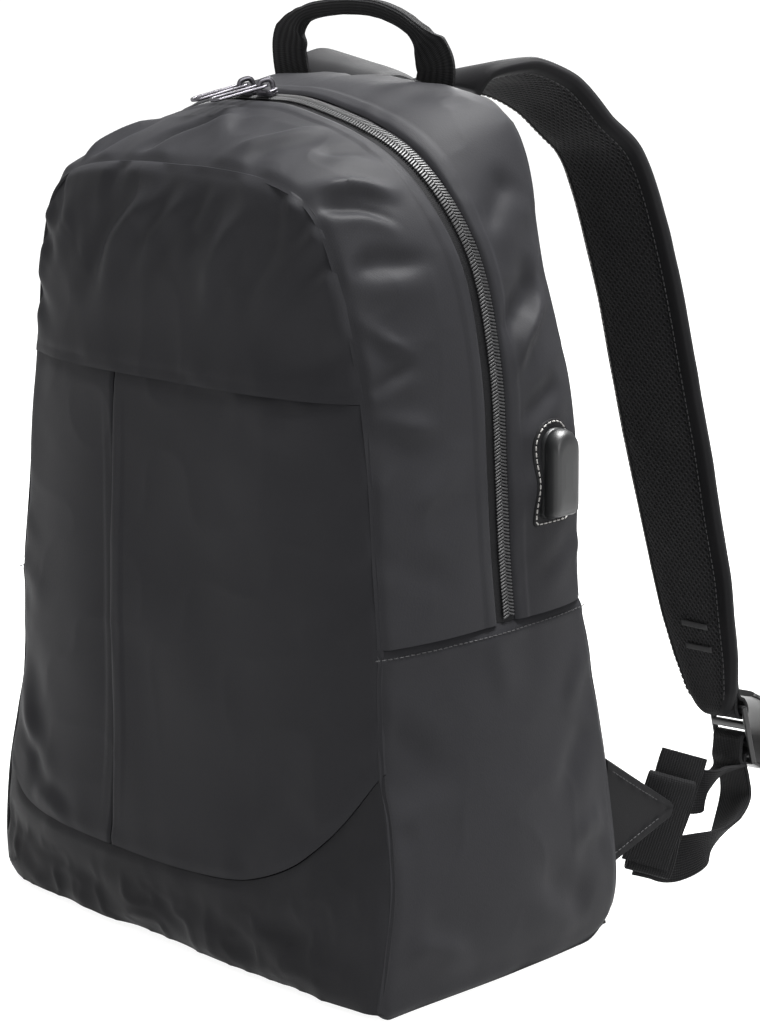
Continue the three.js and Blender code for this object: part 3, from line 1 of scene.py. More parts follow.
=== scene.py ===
# Laptop backpack in charcoal polyester: cloth shell, coil zip, padded straps, webbing and ladder buckles.
import bpy
import numpy as np
from mathutils import Matrix


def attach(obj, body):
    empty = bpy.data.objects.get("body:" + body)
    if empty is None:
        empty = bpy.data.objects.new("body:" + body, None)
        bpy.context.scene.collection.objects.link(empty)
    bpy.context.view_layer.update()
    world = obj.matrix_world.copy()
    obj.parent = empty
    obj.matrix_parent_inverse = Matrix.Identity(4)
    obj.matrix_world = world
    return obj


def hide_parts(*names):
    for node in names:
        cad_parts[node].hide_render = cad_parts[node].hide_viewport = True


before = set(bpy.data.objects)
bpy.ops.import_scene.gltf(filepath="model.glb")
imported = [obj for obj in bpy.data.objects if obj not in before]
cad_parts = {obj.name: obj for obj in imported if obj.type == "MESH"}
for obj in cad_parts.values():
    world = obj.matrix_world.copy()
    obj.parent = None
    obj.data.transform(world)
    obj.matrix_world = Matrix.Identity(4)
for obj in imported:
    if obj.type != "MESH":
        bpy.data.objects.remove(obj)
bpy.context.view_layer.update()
mm = 0.001
hands = ((1, "right"), (-1, "left"))
sharpAngle = 40
print("frame loaded:", len(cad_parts), "nodes")

# Camera, light and floor. Places in metres.
cameraSet = {"azimuth": 0.8162, "pitch": 0.219, "roll": -0.0167, "distance": 1.51288, "aside": 0.04662,
             "above": 0.22397, "focal": 2790.76, "imageHeight": 1024, "sensor": 36.0}
lightSet = [
    {"name": "overhead", "place": (0.3, 0.5, 2.1), "aim": (0, 0, 0.25), "size": 1.1, "power": 190},
    {"name": "leftFill", "place": (-1.9, -1.3, 1.2), "aim": (0, 0, 0.25), "size": 1.0, "power": 8},
    {"name": "rightFill", "place": (2.3, -0.5, 1.0), "aim": (0, 0, 0.25), "size": 1.1, "power": 26},
    {"name": "backRim", "place": (-0.9, 1.9, 1.6), "aim": (0, 0, 0.3), "size": 1.2, "power": 50},
]
floorSet = {"size": 90.0, "low": "#919191", "high": "#959595", "glow": 0.9, "world": 0.6}


def placeFacing(thing, right, up, back, place):
    matrix = np.eye(4)
    matrix[:3, :3] = np.stack([right, up, back], axis=1)
    matrix[:3, 3] = place
    thing.matrix_world = Matrix(matrix.tolist())
    bpy.context.collection.objects.link(thing)


def addCamera(s):
    # A pinhole at the photo's viewing angle, turned about its own axis by the roll.
    az, pitch = s["azimuth"], s["pitch"]
    forward = np.array([-np.sin(az) * np.cos(pitch), np.cos(az) * np.cos(pitch), -np.sin(pitch)])
    level = np.array([np.cos(az), np.sin(az), 0.0])
    tall = np.cross(level, forward)
    right = level * np.cos(s["roll"]) + tall * np.sin(s["roll"])
    up = tall * np.cos(s["roll"]) - level * np.sin(s["roll"])
    data = bpy.data.cameras.new("camera")
    data.sensor_fit = "VERTICAL"
    data.sensor_height = s["sensor"]
    data.lens = s["focal"] * s["sensor"] / s["imageHeight"]
    data.clip_end = 50
    camera = bpy.data.objects.new("camera", data)
    place = level * s["aside"] + np.array([0, 0, s["above"]]) - forward * s["distance"]
    placeFacing(camera, right, up, -forward, place)
    bpy.context.scene.camera = camera


def addLight(s):
    data = bpy.data.lights.new(s["name"], "AREA")
    data.size = s["size"]
    data.energy = s["power"]
    back = np.array(s["place"], float) - np.array(s["aim"], float)
    back /= np.linalg.norm(back)
    side = np.cross([0, 0.01, 1], back)
    side /= np.linalg.norm(side)
    placeFacing(bpy.data.objects.new(s["name"], data), side, np.cross(back, side), back, s["place"])


addCamera(cameraSet)
for lightRow in lightSet:
    addLight(lightRow)
bpy.context.scene.view_settings.view_transform = "Standard"


# Materials
def linear(hexColour):
    # sRGB hex to linear: the standard curve with a straight toe.
    value = np.array([int(hexColour[k:k + 2], 16) for k in (1, 3, 5)]) / 255
    return tuple(np.where(value <= 0.04045, value / 12.92, ((value + 0.055) / 1.055) ** 2.4)) + (1.0,)


def addNode(tree, kind, settings=None, links=None):
    # Settings name the node's properties or its inputs, links give the sockets that feed inputs.
    node = tree.nodes.new(kind)
    for key, value in (settings or {}).items():
        if isinstance(key, str) and hasattr(node, key):
            setattr(node, key, value)
        else:
            node.inputs[key].default_value = value
    for key, socket in (links or {}).items():
        tree.links.new(socket, node.inputs[key])
    return node


def newTree(name):
    found = bpy.data.materials.new(name)
    found.use_nodes = True
    found.node_tree.nodes.clear()
    return found, found.node_tree


def finishTree(tree, settings, links):
    shader = addNode(tree, "ShaderNodeBsdfPrincipled", settings, links)
    addNode(tree, "ShaderNodeOutputMaterial", links={"Surface": shader.outputs[0]})


def objectPlace(tree):
    return addNode(tree, "ShaderNodeTexCoord").outputs["Object"]


def clothPlace(tree, pitchMm, turn=0.0):
    # The UV map holds metres along the cloth, so one pattern repeat is one unit here.
    uv = addNode(tree, "ShaderNodeTexCoord").outputs["UV"]
    scale = 1 / (pitchMm * mm)
    settings = {"Scale": (scale, scale, scale), "Rotation": (0, 0, turn)}
    return addNode(tree, "ShaderNodeMapping", settings, {"Vector": uv}).outputs[0]


def noiseAt(tree, place, scale, detail=3.0):
    return addNode(tree, "ShaderNodeTexNoise", {"Scale": scale, "Detail": detail},
                   {"Vector": place}).outputs["Fac"]


def ribsAt(tree, place, direction):
    # One wave per unit of the place.
    settings = {"bands_direction": direction, "Scale": np.pi / 10, "Distortion": 0.0}
    return addNode(tree, "ShaderNodeTexWave", settings, {"Vector": place}).outputs["Fac"]


def calculate(tree, operation, first, second):
    links, settings = {0: first}, {"operation": operation}
    if isinstance(second, float):
        settings[1] = second
    else:
        links[1] = second
    return addNode(tree, "ShaderNodeMath", settings, links).outputs[0]


def rampBetween(tree, factor, low, high, positions=(0.25, 0.75)):
    ramp = addNode(tree, "ShaderNodeValToRGB", links={"Fac": factor})
    for element, colour, position in zip(ramp.color_ramp.elements, (low, high), positions):
        element.position = position
        element.color = colour
    return ramp.outputs["Color"]


def valueBetween(tree, factor, low, high):
    settings = {"To Min": low, "To Max": high}
    return addNode(tree, "ShaderNodeMapRange", settings, {"Value": factor}).outputs[0]


def bumpFrom(tree, height, strength, distanceMm, under=None):
    links = {"Height": height}
    if under:
        links["Normal"] = under
    return addNode(tree, "ShaderNodeBump", {"Strength": strength, "Distance": distanceMm * mm},
                   links).outputs[0]


def makeCloth(name, s):
    # Yarn-dyed polyester: nearly even and matt, a thread grid seen only close up, a faint sheen on turned
    # folds.
    found, tree = newTree(name)
    place = clothPlace(tree, s["threadMm"])
    threads = calculate(tree, "MULTIPLY", ribsAt(tree, place, "X"), ribsAt(tree, place, "Y"))
    patches = noiseAt(tree, objectPlace(tree), s["patchScale"], 5.0)
    grain = noiseAt(tree, objectPlace(tree), s["grainScale"], 2.0)
    mixed = calculate(tree, "ADD", calculate(tree, "MULTIPLY", patches, 0.7),
                      calculate(tree, "MULTIPLY", grain, 0.3))
    normal = bumpFrom(tree, grain, 0.3, 0.25, bumpFrom(tree, threads, s["threadBump"], 0.2))
    finishTree(
        tree,
        {"Sheen Weight": s["sheen"], "Sheen Roughness": 0.45, "Sheen Tint": linear("#c9c8ce"),
         "Specular IOR Level": s["specular"]},
        {"Base Color": rampBetween(tree, mixed, linear(s["dark"]), linear(s["light"]), (0.3, 0.7)),
         "Roughness": valueBetween(tree, mixed, s["roughness"] - 0.08, s["roughness"] + 0.08),
         "Normal": normal},
    )
    return found


def makeSpacerMesh(name, s):
    # Knitted air mesh: staggered round holes painted near black for the dark backing and painted shade in
    # them, with a fuzzy matt yarn between.
    found, tree = newTree(name)
    place = clothPlace(tree, s["holeMm"], np.pi / 4)
    cells = addNode(tree, "ShaderNodeTexVoronoi",
                    {"Scale": 1.0, "Randomness": 0.0, "voronoi_dimensions": "2D"},
                    {"Vector": place}).outputs["Distance"]
    wall = rampBetween(tree, cells, (0, 0, 0, 1), (1, 1, 1, 1), (0.22, 0.42))
    fuzz = noiseAt(tree, objectPlace(tree), s["fuzzScale"], 3.0)
    yarn = rampBetween(tree, fuzz, linear(s["dark"]), linear(s["light"]))
    # The holes' near-black colour is the dark layer behind the mesh plus painted shade inside the holes.
    colour = addNode(tree, "ShaderNodeMix", {"data_type": "RGBA", 6: linear(s["holeBackingAndShade"])},
                     {0: wall, 7: yarn}).outputs[2]
    normal = bumpFrom(tree, fuzz, 0.4, 0.3, bumpFrom(tree, wall, 0.9, s["depthMm"]))
    finishTree(tree, {"Sheen Weight": 0.05, "Sheen Roughness": 0.6, "Specular IOR Level": 0.06},
               {"Base Color": colour, "Roughness": valueBetween(tree, fuzz, 0.75, 0.95), "Normal": normal})
    return found


def makeWebbing(name, s):
    # Heavy woven polyester tape: cords run along it, crossed by finer picks.
    found, tree = newTree(name)
    cords = ribsAt(tree, clothPlace(tree, s["cordMm"]), "X")
    picks = ribsAt(tree, clothPlace(tree, s["pickMm"]), "Y")
    woven = calculate(tree, "ADD", cords, calculate(tree, "MULTIPLY", picks, 0.4))
    fuzz = noiseAt(tree, objectPlace(tree), 1400.0)
    # Colour follows the weave: cords lighter and the grooves between them darker as painted shade, with
    # random tone from the fuzz.
    colour = rampBetween(tree, calculate(tree, "MULTIPLY", woven, fuzz), linear(s["dark"]),
                         linear(s["light"]), (0.1, 0.8))
    normal = bumpFrom(tree, fuzz, 0.25, 0.2, bumpFrom(tree, woven, s["bump"], 0.35))
    finishTree(tree, {"Sheen Weight": 0.02, "Specular IOR Level": 0.07},
               {"Base Color": colour, "Roughness": valueBetween(tree, fuzz, 0.55, 0.8), "Normal": normal})
    return found


def makePaper(name, s):
    # Studio sweep lit from behind: pale, matt and nearly even, with a faint fibre.
    found, tree = newTree(name)
    cloud = noiseAt(tree, objectPlace(tree), 3.0)
    fibre = noiseAt(tree, objectPlace(tree), 400.0, 2.0)
    finishTree(tree,
               {"Emission Strength": s["glow"], "Emission Color": (1, 1, 1, 1), "Specular IOR Level": 0.1},
               {"Base Color": rampBetween(tree, cloud, linear(s["low"]), linear(s["high"])),
                "Roughness": valueBetween(tree, cloud, 0.85, 0.95),
                "Normal": bumpFrom(tree, fibre, 0.05, 0.1)})
    return found


def makeSmooth(name, s):
    # Moulded or drawn surfaces: the finish varies a little and fine noise breaks up the highlights.
    found, tree = newTree(name)
    cloud = noiseAt(tree, objectPlace(tree), s["cloudScale"])
    grain = noiseAt(tree, objectPlace(tree), s["grainScale"], 2.0)
    finishTree(tree, {"Metallic": s["metallic"], "Specular IOR Level": 0.5},
               {"Base Color": rampBetween(tree, cloud, linear(s["dark"]), linear(s["light"])),
                "Roughness": valueBetween(tree, cloud, s["roughness"] - 0.06, s["roughness"] + 0.06),
                "Normal": bumpFrom(tree, grain, s["bump"], 0.1)})
    return found


shellSet = {"threadMm": 0.7, "patchScale": 9.0, "grainScale": 1100.0, "threadBump": 0.18, "sheen": 0.01,
            "specular": 0.05, "dark": "#1c1c1e", "light": "#232325", "roughness": 0.5}
shellCloth = makeCloth("shellCloth", shellSet)
baseCloth = makeCloth("baseCloth", {**shellSet, "dark": "#171718", "light": "#1f1f21", "roughness": 0.46})
trimCloth = makeCloth("trimCloth", {**shellSet, "dark": "#121213", "light": "#1a1a1b", "roughness": 0.56})
tapeCloth = makeCloth("tapeCloth", {**shellSet, "threadMm": 1.1, "threadBump": 0.5, "dark": "#151516",
                                    "light": "#161617", "roughness": 0.66})
spacerMesh = makeSpacerMesh("spacerMesh",
                            {"holeMm": 2.9, "depthMm": 1.2, "fuzzScale": 1500.0, "holeBackingAndShade": "#020202",
                                           "dark": "#101012", "light": "#1a1a1c"})
tapeWebbing = makeWebbing("tapeWebbing", {"cordMm": 1.5, "pickMm": 0.9, "bump": 0.7, "dark": "#0b0b0c",
                                          "light": "#1d1d1e"})
coilNylon = makeSmooth("coilNylon", {"cloudScale": 300.0, "grainScale": 2500.0, "metallic": 0.0, "bump": 0.15,
                                     "dark": "#111112", "light": "#1a1a1b", "roughness": 0.5})
gunmetal = makeSmooth("gunmetal", {"cloudScale": 120.0, "grainScale": 2600.0, "metallic": 1.0, "bump": 0.08,
                                   "dark": "#4a494d", "light": "#6a686d", "roughness": 0.3})
blackAcetal = makeSmooth("blackAcetal",
                         {"cloudScale": 90.0, "grainScale": 1800.0, "metallic": 0.0, "bump": 0.2,
                                         "dark": "#0a0a0b", "light": "#101011", "roughness": 0.34})
portRubber = makeSmooth("portRubber",
                        {"cloudScale": 60.0, "grainScale": 1500.0, "metallic": 0.0, "bump": 0.25,
                                       "dark": "#0a0b0c", "light": "#101112", "roughness": 0.42})
paleThread = makeSmooth("paleThread",
                        {"cloudScale": 500.0, "grainScale": 3000.0, "metallic": 0.0, "bump": 0.5,
                                       "dark": "#6e6c6a", "light": "#918f8c", "roughness": 0.7})
darkThread = makeSmooth("darkThread",
                        {"cloudScale": 500.0, "grainScale": 3000.0, "metallic": 0.0, "bump": 0.5,
                                       "dark": "#0c0c0d", "light": "#1c1c1e", "roughness": 0.7})
paperFloor = makePaper("paperFloor", floorSet)


def addFloor(s):
    half = s["size"] / 2
    surface = bpy.data.meshes.new("floor")
    surface.from_pydata([(-half, -half, 0), (half, -half, 0), (half, half, 0), (-half, half, 0)], [],
                        [(0, 1, 2, 3)])
    surface.materials.append(paperFloor)
    floor = bpy.data.objects.new("floor", surface)
    bpy.context.collection.objects.link(floor)
    world = bpy.data.worlds.new("studio")
    world.use_nodes = True
    world.node_tree.nodes["Background"].inputs["Color"].default_value = (1, 1, 1, 1)
    world.node_tree.nodes["Background"].inputs["Strength"].default_value = s["world"]
    bpy.context.scene.world = world


addFloor(floorSet)
print("camera, lights, materials and floor ready")


# Numbers and surfaces. Places are in millimetres from here on.
def blend(a, b, share):
    return a + (b - a) * share


def step(low, high, value):
    # Smooth step from 0 to 1 between two values.
    t = np.clip((value - low) / (high - low), 0, 1)
    return t * t * (3 - 2 * t)


def unit(v):
    return v / np.maximum(np.linalg.norm(v, axis=-1, keepdims=True), 1e-9)


def softNoise(places, seed, size=1.0):
    # Smooth random heights from -1 to 1: random numbers on a lattice, blended smoothly between its corners.
    table = np.random.default_rng(seed).uniform(-1, 1, 4096)
    q = np.asarray(places, float) / size
    cell = np.floor(q).astype(np.int64)
    part = q - cell
    part = part * part * (3 - 2 * part)
    primes = np.array([73856093, 19349663, 83492791])[:q.shape[-1]]
    total = np.zeros(q.shape[:-1])
    for corner in np.ndindex(*(2,) * q.shape[-1]):
        weight = np.prod(np.where(np.array(corner) == 1, part, 1 - part), axis=-1)
        key = np.bitwise_xor.reduce((cell + np.array(corner)) * primes, axis=-1)
        total = total + weight * table[key % 4096]
    return total


def smoothLine(points, perSpan=24, centripetal=False):
    # Catmull-Rom through the points. Centripetal spacing takes the root of each span's length as its time.
    p = np.asarray(points, float)
    ends = np.concatenate([[2 * p[0] - p[1]], p, [2 * p[-1] - p[-2]]])
    a, b, c, d = (ends[k:len(ends) - 3 + k][:, None] for k in range(4))
    if centripetal:
        ta, tb, tc = (np.sqrt(np.linalg.norm(x - y, axis=-1, keepdims=True))
                      for x, y in ((b, a), (c, b), (d, c)))
        start = ((b - a) / ta - (c - a) / (ta + tb) + (c - b) / tb) * tb
        end = ((c - b) / tb - (d - b) / (tb + tc) + (d - c) / tc) * tb
    else:
        start, end = (c - a) / 2, (d - b) / 2
    t = (np.arange(perSpan) / perSpan)[None, :, None]
    line = (2 * b - 2 * c + start + end) * t ** 3 + (3 * c - 3 * b - 2 * start - end) * t ** 2 + start * t + b
    return np.concatenate([line.reshape(-1, p.shape[1]), p[-1:]])


def lengthsOf(line):
    return np.concatenate([[0], np.cumsum(np.linalg.norm(np.diff(line, axis=0), axis=-1))])


def alongLine(line, share):
    # Places at shares of the line's length.
    length = lengthsOf(line)
    at = np.asarray(share) * length[-1]
    return np.stack([np.interp(at, length, line[:, k]) for k in range(line.shape[1])], axis=-1)


def shareAtHeight(line, height):
    return np.interp(height, np.maximum.accumulate(line[:, 2]), lengthsOf(line)) / lengthsOf(line)[-1]


def nearestOnLine(places, line):
    # Distance from each place to a line of close points, and the length along the line where it is nearest.
    length = lengthsOf(line)
    way = unit(np.gradient(line, axis=0))
    flat = places.reshape(-1, places.shape[-1])
    away, along = [], []
    for part in np.array_split(flat, 1 + len(flat) // 2000):
        index = np.linalg.norm(part[:, None] - line[None], axis=-1).argmin(1)
        offset = part - line[index]
        slide = np.clip(np.sum(offset * way[index], axis=-1), -2, 2)
        away.append(np.linalg.norm(offset - slide[:, None] * way[index], axis=-1))
        along.append(length[index] + slide)
    return np.concatenate(away).reshape(places.shape[:-1]), np.concatenate(along).reshape(places.shape[:-1])


def normalsOf(grid):
    # Cross product of the grid's two directions at each point.
    return unit(np.cross(np.gradient(grid, axis=0), np.gradient(grid, axis=1)))


def lengthMap(grid):
    # Distances along the middle row and column of the grid, as the cloth's own flat coordinates.
    u = lengthsOf(grid[:, grid.shape[1] // 2])
    v = lengthsOf(grid[grid.shape[0] // 2])
    return np.stack(np.meshgrid(u, v, indexing="ij"), axis=-1).reshape(-1, 2)


def gridQuads(rows, columns, start=0, wrap=False):
    i = np.arange(rows - 1)[:, None]
    j = np.arange(columns if wrap else columns - 1)[None, :]
    a, b = i * columns + j, i * columns + (j + 1) % columns
    return np.stack([a, b, b + columns, a + columns], axis=-1).reshape(-1, 4) + start


def turnedOut(points, quads, triangles):
    # Faces are turned outwards as one: the sum of their signed volumes must be positive.
    a, b, c, d = (points[quads[:, k]] for k in range(4))
    volume = np.sum(a * np.cross(b, c)) + np.sum(a * np.cross(c, d))
    volume += np.sum(points[triangles[:, 0]] * np.cross(points[triangles[:, 1]], points[triangles[:, 2]]))
    return (quads[:, ::-1], triangles[:, ::-1]) if volume < 0 else (quads, triangles)


def addMesh(name, points, quads, finish, uv=None, triangles=()):
    points = np.asarray(points, float)
    quads = np.asarray(quads, int).reshape(-1, 4)
    triangles = np.asarray(triangles, int).reshape(-1, 3)
    quads, triangles = turnedOut(points, quads, triangles)
    loops = np.concatenate([quads.ravel(), triangles.ravel()]).astype(np.int32)
    sizes = np.concatenate([np.full(len(quads), 4), np.full(len(triangles), 3)])
    surface = bpy.data.meshes.new(name)
    surface.vertices.add(len(points))
    surface.vertices.foreach_set("co", (points * mm).astype(np.float32).ravel())
    surface.loops.add(len(loops))
    surface.loops.foreach_set("vertex_index", loops)
    surface.polygons.add(len(sizes))
    surface.polygons.foreach_set("loop_start", np.concatenate([[0], np.cumsum(sizes)[:-1]]).astype(np.int32))
    surface.polygons.foreach_set("use_smooth", np.ones(len(sizes), bool))
    if uv is not None:
        layer = surface.uv_layers.new(name="clothLengths")
        layer.data.foreach_set("uv", (np.asarray(uv)[loops] * mm).astype(np.float32).ravel())
    surface.update(calc_edges=True)
    surface.set_sharp_from_angle(angle=np.radians(sharpAngle))
    surface.materials.append(finish)
    piece = bpy.data.objects.new(name, surface)
    bpy.context.collection.objects.link(piece)
    return piece


def sheetMesh(outer, inner):
    # Points, quads and flat coordinates of a sheet between two grids, closed along its four edges.
    m, n = outer.shape[:2]
    edge = np.concatenate([np.arange(n), n - 1 + n * np.arange(1, m), (m - 1) * n + np.arange(n - 2, -1, -1),
                           n * np.arange(m - 2, 0, -1)])
    after = np.roll(edge, -1)
    rim = np.stack([after, edge, edge + m * n, after + m * n], axis=-1)
    quads = np.concatenate([gridQuads(m, n), gridQuads(m, n, m * n)[:, ::-1], rim])
    uv = lengthMap(outer)
    return np.concatenate([outer.reshape(-1, 3), inner.reshape(-1, 3)]), quads, np.concatenate([uv, uv])


def own(piece, body, slotName, *nodes):
    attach(piece, body)
    if nodes:
        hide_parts(*nodes)
    return piece


def addShape(name, shape, finish, body, slotName, *nodes):
    # A shape is points, quads, flat coordinates and, for one with caps, triangles.
    points, quads, uv, *caps = shape
    return own(addMesh(name, points, quads, finish, uv, *caps), body, slotName, *nodes)


def placesOf(surface):
    # A mesh's vertices, in millimetres.
    places = np.zeros(3 * len(surface.vertices), np.float32)
    surface.vertices.foreach_get("co", places)
    return places.reshape(-1, 3) / mm


def nodePoints(name):
    # Corners of a solid of the frame, in millimetres.
    return placesOf(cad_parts[name].data)


def noiseGrid(first, second, seed):
    # Soft noise over two coordinates that fill a grid together.
    return softNoise(np.stack(np.broadcast_arrays(first, second), axis=-1), seed)


def addCloth(name, outer, thickness, finish, slotName, *nodes, inwards=None):
    # A sheet of even thickness, grown from its outer face against the normals or along one direction.
    if inwards is None:
        normal = normalsOf(outer)
        centre = np.array([0, 0, 0.5 * bag["height"]])
        facing = np.sign(np.sum(normal * (outer - centre)))
        inwards = -facing * normal
    shape = sheetMesh(outer, outer + thickness * np.asarray(inwards))
    return addShape(name, shape, finish, "bag", slotName, *nodes)


def fanCaps(m, n):
    # Triangles from the first and the last of m rings of n points to the two middle points that follow them.
    k = np.arange(n)
    first = np.stack([k, np.full(n, m * n), (k + 1) % n], axis=-1)
    last = np.stack([(m - 1) * n + (k + 1) % n, np.full(n, m * n + 1), (m - 1) * n + k], axis=-1)
    return first, last


def sweepMesh(frames, sections):
    # Rings of a section carried along frames (place, across, normal), closed on both ends' middle points.
    place, across, normal = frames
    rings = place[:, None] + sections[..., :1] * across[:, None] + sections[..., 1:] * normal[:, None]
    m, n = rings.shape[:2]
    points = np.concatenate([rings.reshape(-1, 3), rings[:1].mean(1), rings[-1:].mean(1)])
    quads = gridQuads(m, n, wrap=True)
    ring = np.concatenate([[0], np.cumsum(np.linalg.norm(np.diff(sections[m // 2], axis=0), axis=-1))])
    uv = np.stack(np.meshgrid(ring, lengthsOf(place), indexing="ij"),
                  axis=-1).transpose(1, 0, 2).reshape(-1, 2)
    return points, quads, np.concatenate([uv, uv[:1], uv[-1:]]), np.concatenate(fanCaps(m, n))


def roundedSection(width, thickness, corner, count=6):
    # Outline of a bar with rounded corners, as places across and through it.
    angle = np.linspace(0, np.pi / 2, count)
    quarter = np.stack([np.cos(angle), np.sin(angle)], axis=-1) * corner
    centre = np.array([width / 2 - corner, thickness / 2 - corner])
    turns = [(1, 1, 1), (-1, 1, -1), (-1, -1, 1), (1, -1, -1)]
    return np.concatenate([(centre + quarter)[::turn] * np.array([sx, sy]) for sx, sy, turn in turns])


# Seam lines of the sewn body. Columns: shares of the half width, of half the depth and of the seam's height.
bag = {"height": 455, "frontHeight": 420, "zipHeight": 449, "halfBase": 162, "halfBack": 156,
       "halfDepth": 89.5, "sideSeam": 189, "flapSeam": 309, "curveSeam": 50, "curveRise": 78, "slit": -44,
       "wall": 1.5, "zipSlot": 15, "cells": 12,
       "frontTop": 0.962 * 420, "zipTop": 0.945 * 449, "backTop": 0.957 * 455}
frontSeamTable = np.array([
    (0.96, -0.955, 0.008), (0.972, -0.985, 0.03), (0.99, -0.97, 0.08), (0.995, -0.92, 0.16),
    (0.962, -0.88, 0.238), (0.925, -0.866, 0.3), (0.91, -0.853, 0.4), (0.91, -0.845, 0.45),
    (0.878, -0.82, 0.557), (0.855, -0.803, 0.65), (0.822, -0.793, 0.736), (0.79, -0.8, 0.8),
    (0.748, -0.82, 0.869), (0.68, -0.838, 0.936), (0.6, -0.845, 0.969), (0.5, -0.85, 0.985),
    (0.36, -0.853, 0.995), (0.16, -0.855, 1), (0, -0.855, 1)])
zipTable = np.array([
    (0.94, 0.11, 0.42), (0.925, 0.1, 0.5), (0.915, 0.095, 0.6), (0.908, 0.09, 0.68), (0.89, 0.075, 0.745),
    (0.868, 0.05, 0.8), (0.84, 0.015, 0.842), (0.785, -0.025, 0.883), (0.705, -0.06, 0.92),
    (0.6, -0.088, 0.95), (0.475, -0.107, 0.97), (0.335, -0.118, 0.985), (0.16, -0.123, 0.998),
    (0, -0.125, 1)])
backSeamTable = np.array([
    (0.985, 0.926, 0.018), (0.992, 0.995, 0.04), (0.998, 1.005, 0.09), (0.962, 0.99, 0.2),
    (0.942, 0.94, 0.287), (0.932, 0.88, 0.36), (0.928, 0.815, 0.415), (0.93, 0.795, 0.49),
    (0.942, 0.78, 0.55), (0.935, 0.765, 0.62), (0.912, 0.752, 0.68), (0.865, 0.738, 0.735),
    (0.825, 0.722, 0.79), (0.8, 0.7, 0.85), (0.79, 0.69, 0.89), (0.76, 0.68, 0.93), (0.705, 0.672, 0.962),
    (0.6, 0.665, 0.984), (0.42, 0.66, 0.996), (0.2, 0.657, 1), (0, 0.655, 1)])
undersideTable = np.array([
    (0.96, -0.955, 0.008), (0.955, -0.86, 0), (0.96, -0.45, 0), (0.965, 0, 0), (0.96, 0.4, 0),
    (0.952, 0.7, 0), (0.948, 0.82, 0.0045), (0.9485, 0.926, 0.0195)])
curveTable = np.array([
    (-1, 0.34), (-0.92, 0.16), (-0.8, 0.04), (-0.55, 0), (-0.2, 0), (0.1, 0.01), (0.35, 0.05), (0.5, 0.12),
    (0.66, 0.27), (0.8, 0.5), (0.91, 0.75), (1, 1)])
mirror = np.array([-1, 1, 1])


def seamLine(table, halfWidth, height):
    return smoothLine(table * np.array([halfWidth, bag["halfDepth"], height]))


frontSeam = seamLine(frontSeamTable, bag["halfBase"], bag["frontHeight"])
zipLine = seamLine(zipTable, bag["halfBase"], bag["zipHeight"])
backSeam = seamLine(backSeamTable, bag["halfBack"], bag["height"])
underside = seamLine(undersideTable, bag["halfBase"], bag["height"])


def wholeArch(line, marks, cells):
    # Places from the right side seam over the top to the left one, evenly spaced between the marks.
    parts = [np.linspace(a, b, n, endpoint=False) for a, b, n in zip(marks[:-1], marks[1:], cells)]
    right = alongLine(line, np.concatenate(parts))
    return np.concatenate([right, line[-1:], right[::-1] * mirror])


def marksAt(line, *heights):
    return [shareAtHeight(line, height) for height in heights] + [1]


cells = bag["cells"]
frontArch = wholeArch(frontSeam, marksAt(frontSeam, bag["sideSeam"], bag["flapSeam"], bag["frontTop"]),
                      (6 * cells, 6 * cells, 9 * cells))
zipArch = wholeArch(zipLine, marksAt(zipLine, bag["sideSeam"], bag["zipTop"]), (12 * cells, 9 * cells))
backArch = wholeArch(backSeam, marksAt(backSeam, bag["sideSeam"], bag["backTop"]), (12 * cells, 9 * cells))
stations = len(frontArch)
middle = stations // 2


def archOutward(arch):
    along = np.gradient(arch, axis=0)
    along[0] = along[-1] = (0, 0, 1)
    return unit(np.stack([along[:, 2], np.zeros(len(arch)), -along[:, 0]], axis=-1))


frontOut, backOut = archOutward(frontArch), archOutward(backArch)
frontOut[-1] = backOut[-1] = (-1, 0, 0)
zipAcross = backArch - frontArch
zipAcross[[0, -1], 2] = 0
zipAcross = unit(zipAcross)
zipOut = unit(np.cross(zipAcross, np.gradient(zipArch, axis=0)))
archAlong = lengthsOf(zipArch) - lengthsOf(zipArch)[middle]
frontAlong = lengthsOf(frontArch) - lengthsOf(frontArch)[middle]
backAlong = lengthsOf(backArch) - lengthsOf(backArch)[middle]

# Folds. Columns: from and to as shares of the arch and of the gusset, width and rise in millimetres.
frontGussetFolds = np.array([
    (0.62, 0.06, 0.6, 0.75, 5, 4), (0.55, 0.04, 0.5, 0.7, 5, -3.5), (0.45, 0.08, 0.41, 0.8, 6, 3),
    (0.36, 0.05, 0.33, 0.75, 5, 4.5), (0.345, 0.02, 0.31, 0.6, 4, -3), (0.29, 0.05, 0.27, 0.7, 7, -3.5),
    (0.7, 0.1, 0.73, 0.8, 6, -3), (0.25, 0.02, 0.21, 0.4, 5, 2.5), (0.185, 0.03, 0.2, 0.35, 5, -3),
    (0.165, 0.02, 0.15, 0.5, 6, 2.5), (0.39, 0.5, 0.36, 0.95, 6, -2), (0.48, 0.3, 0.52, 0.9, 7, 2),
    (0.1, 0.3, 0.13, 0.8, 9, 1.5), (0.06, 0.1, 0.04, 0.6, 8, -1.5)])
rearGussetFolds = np.array([
    (0.25, 0.35, 0.2, 0.95, 8, -5), (0.235, 0.3, 0.175, 0.85, 5, 3), (0.31, 0.3, 0.28, 0.85, 8, -3.5),
    (0.12, 0.4, 0.08, 0.9, 9, 3), (0.76, 0.5, 0.8, 0.95, 9, -5), (0.165, 0.3, 0.14, 0.8, 6, -3),
    (0.05, 0.15, 0.03, 0.7, 7, -2), (0.4, 0.1, 0.43, 0.6, 8, 2.5), (0.6, 0.1, 0.57, 0.7, 8, -2.5),
    (0.27, 0.1, 0.23, 0.5, 6, 2.5)])
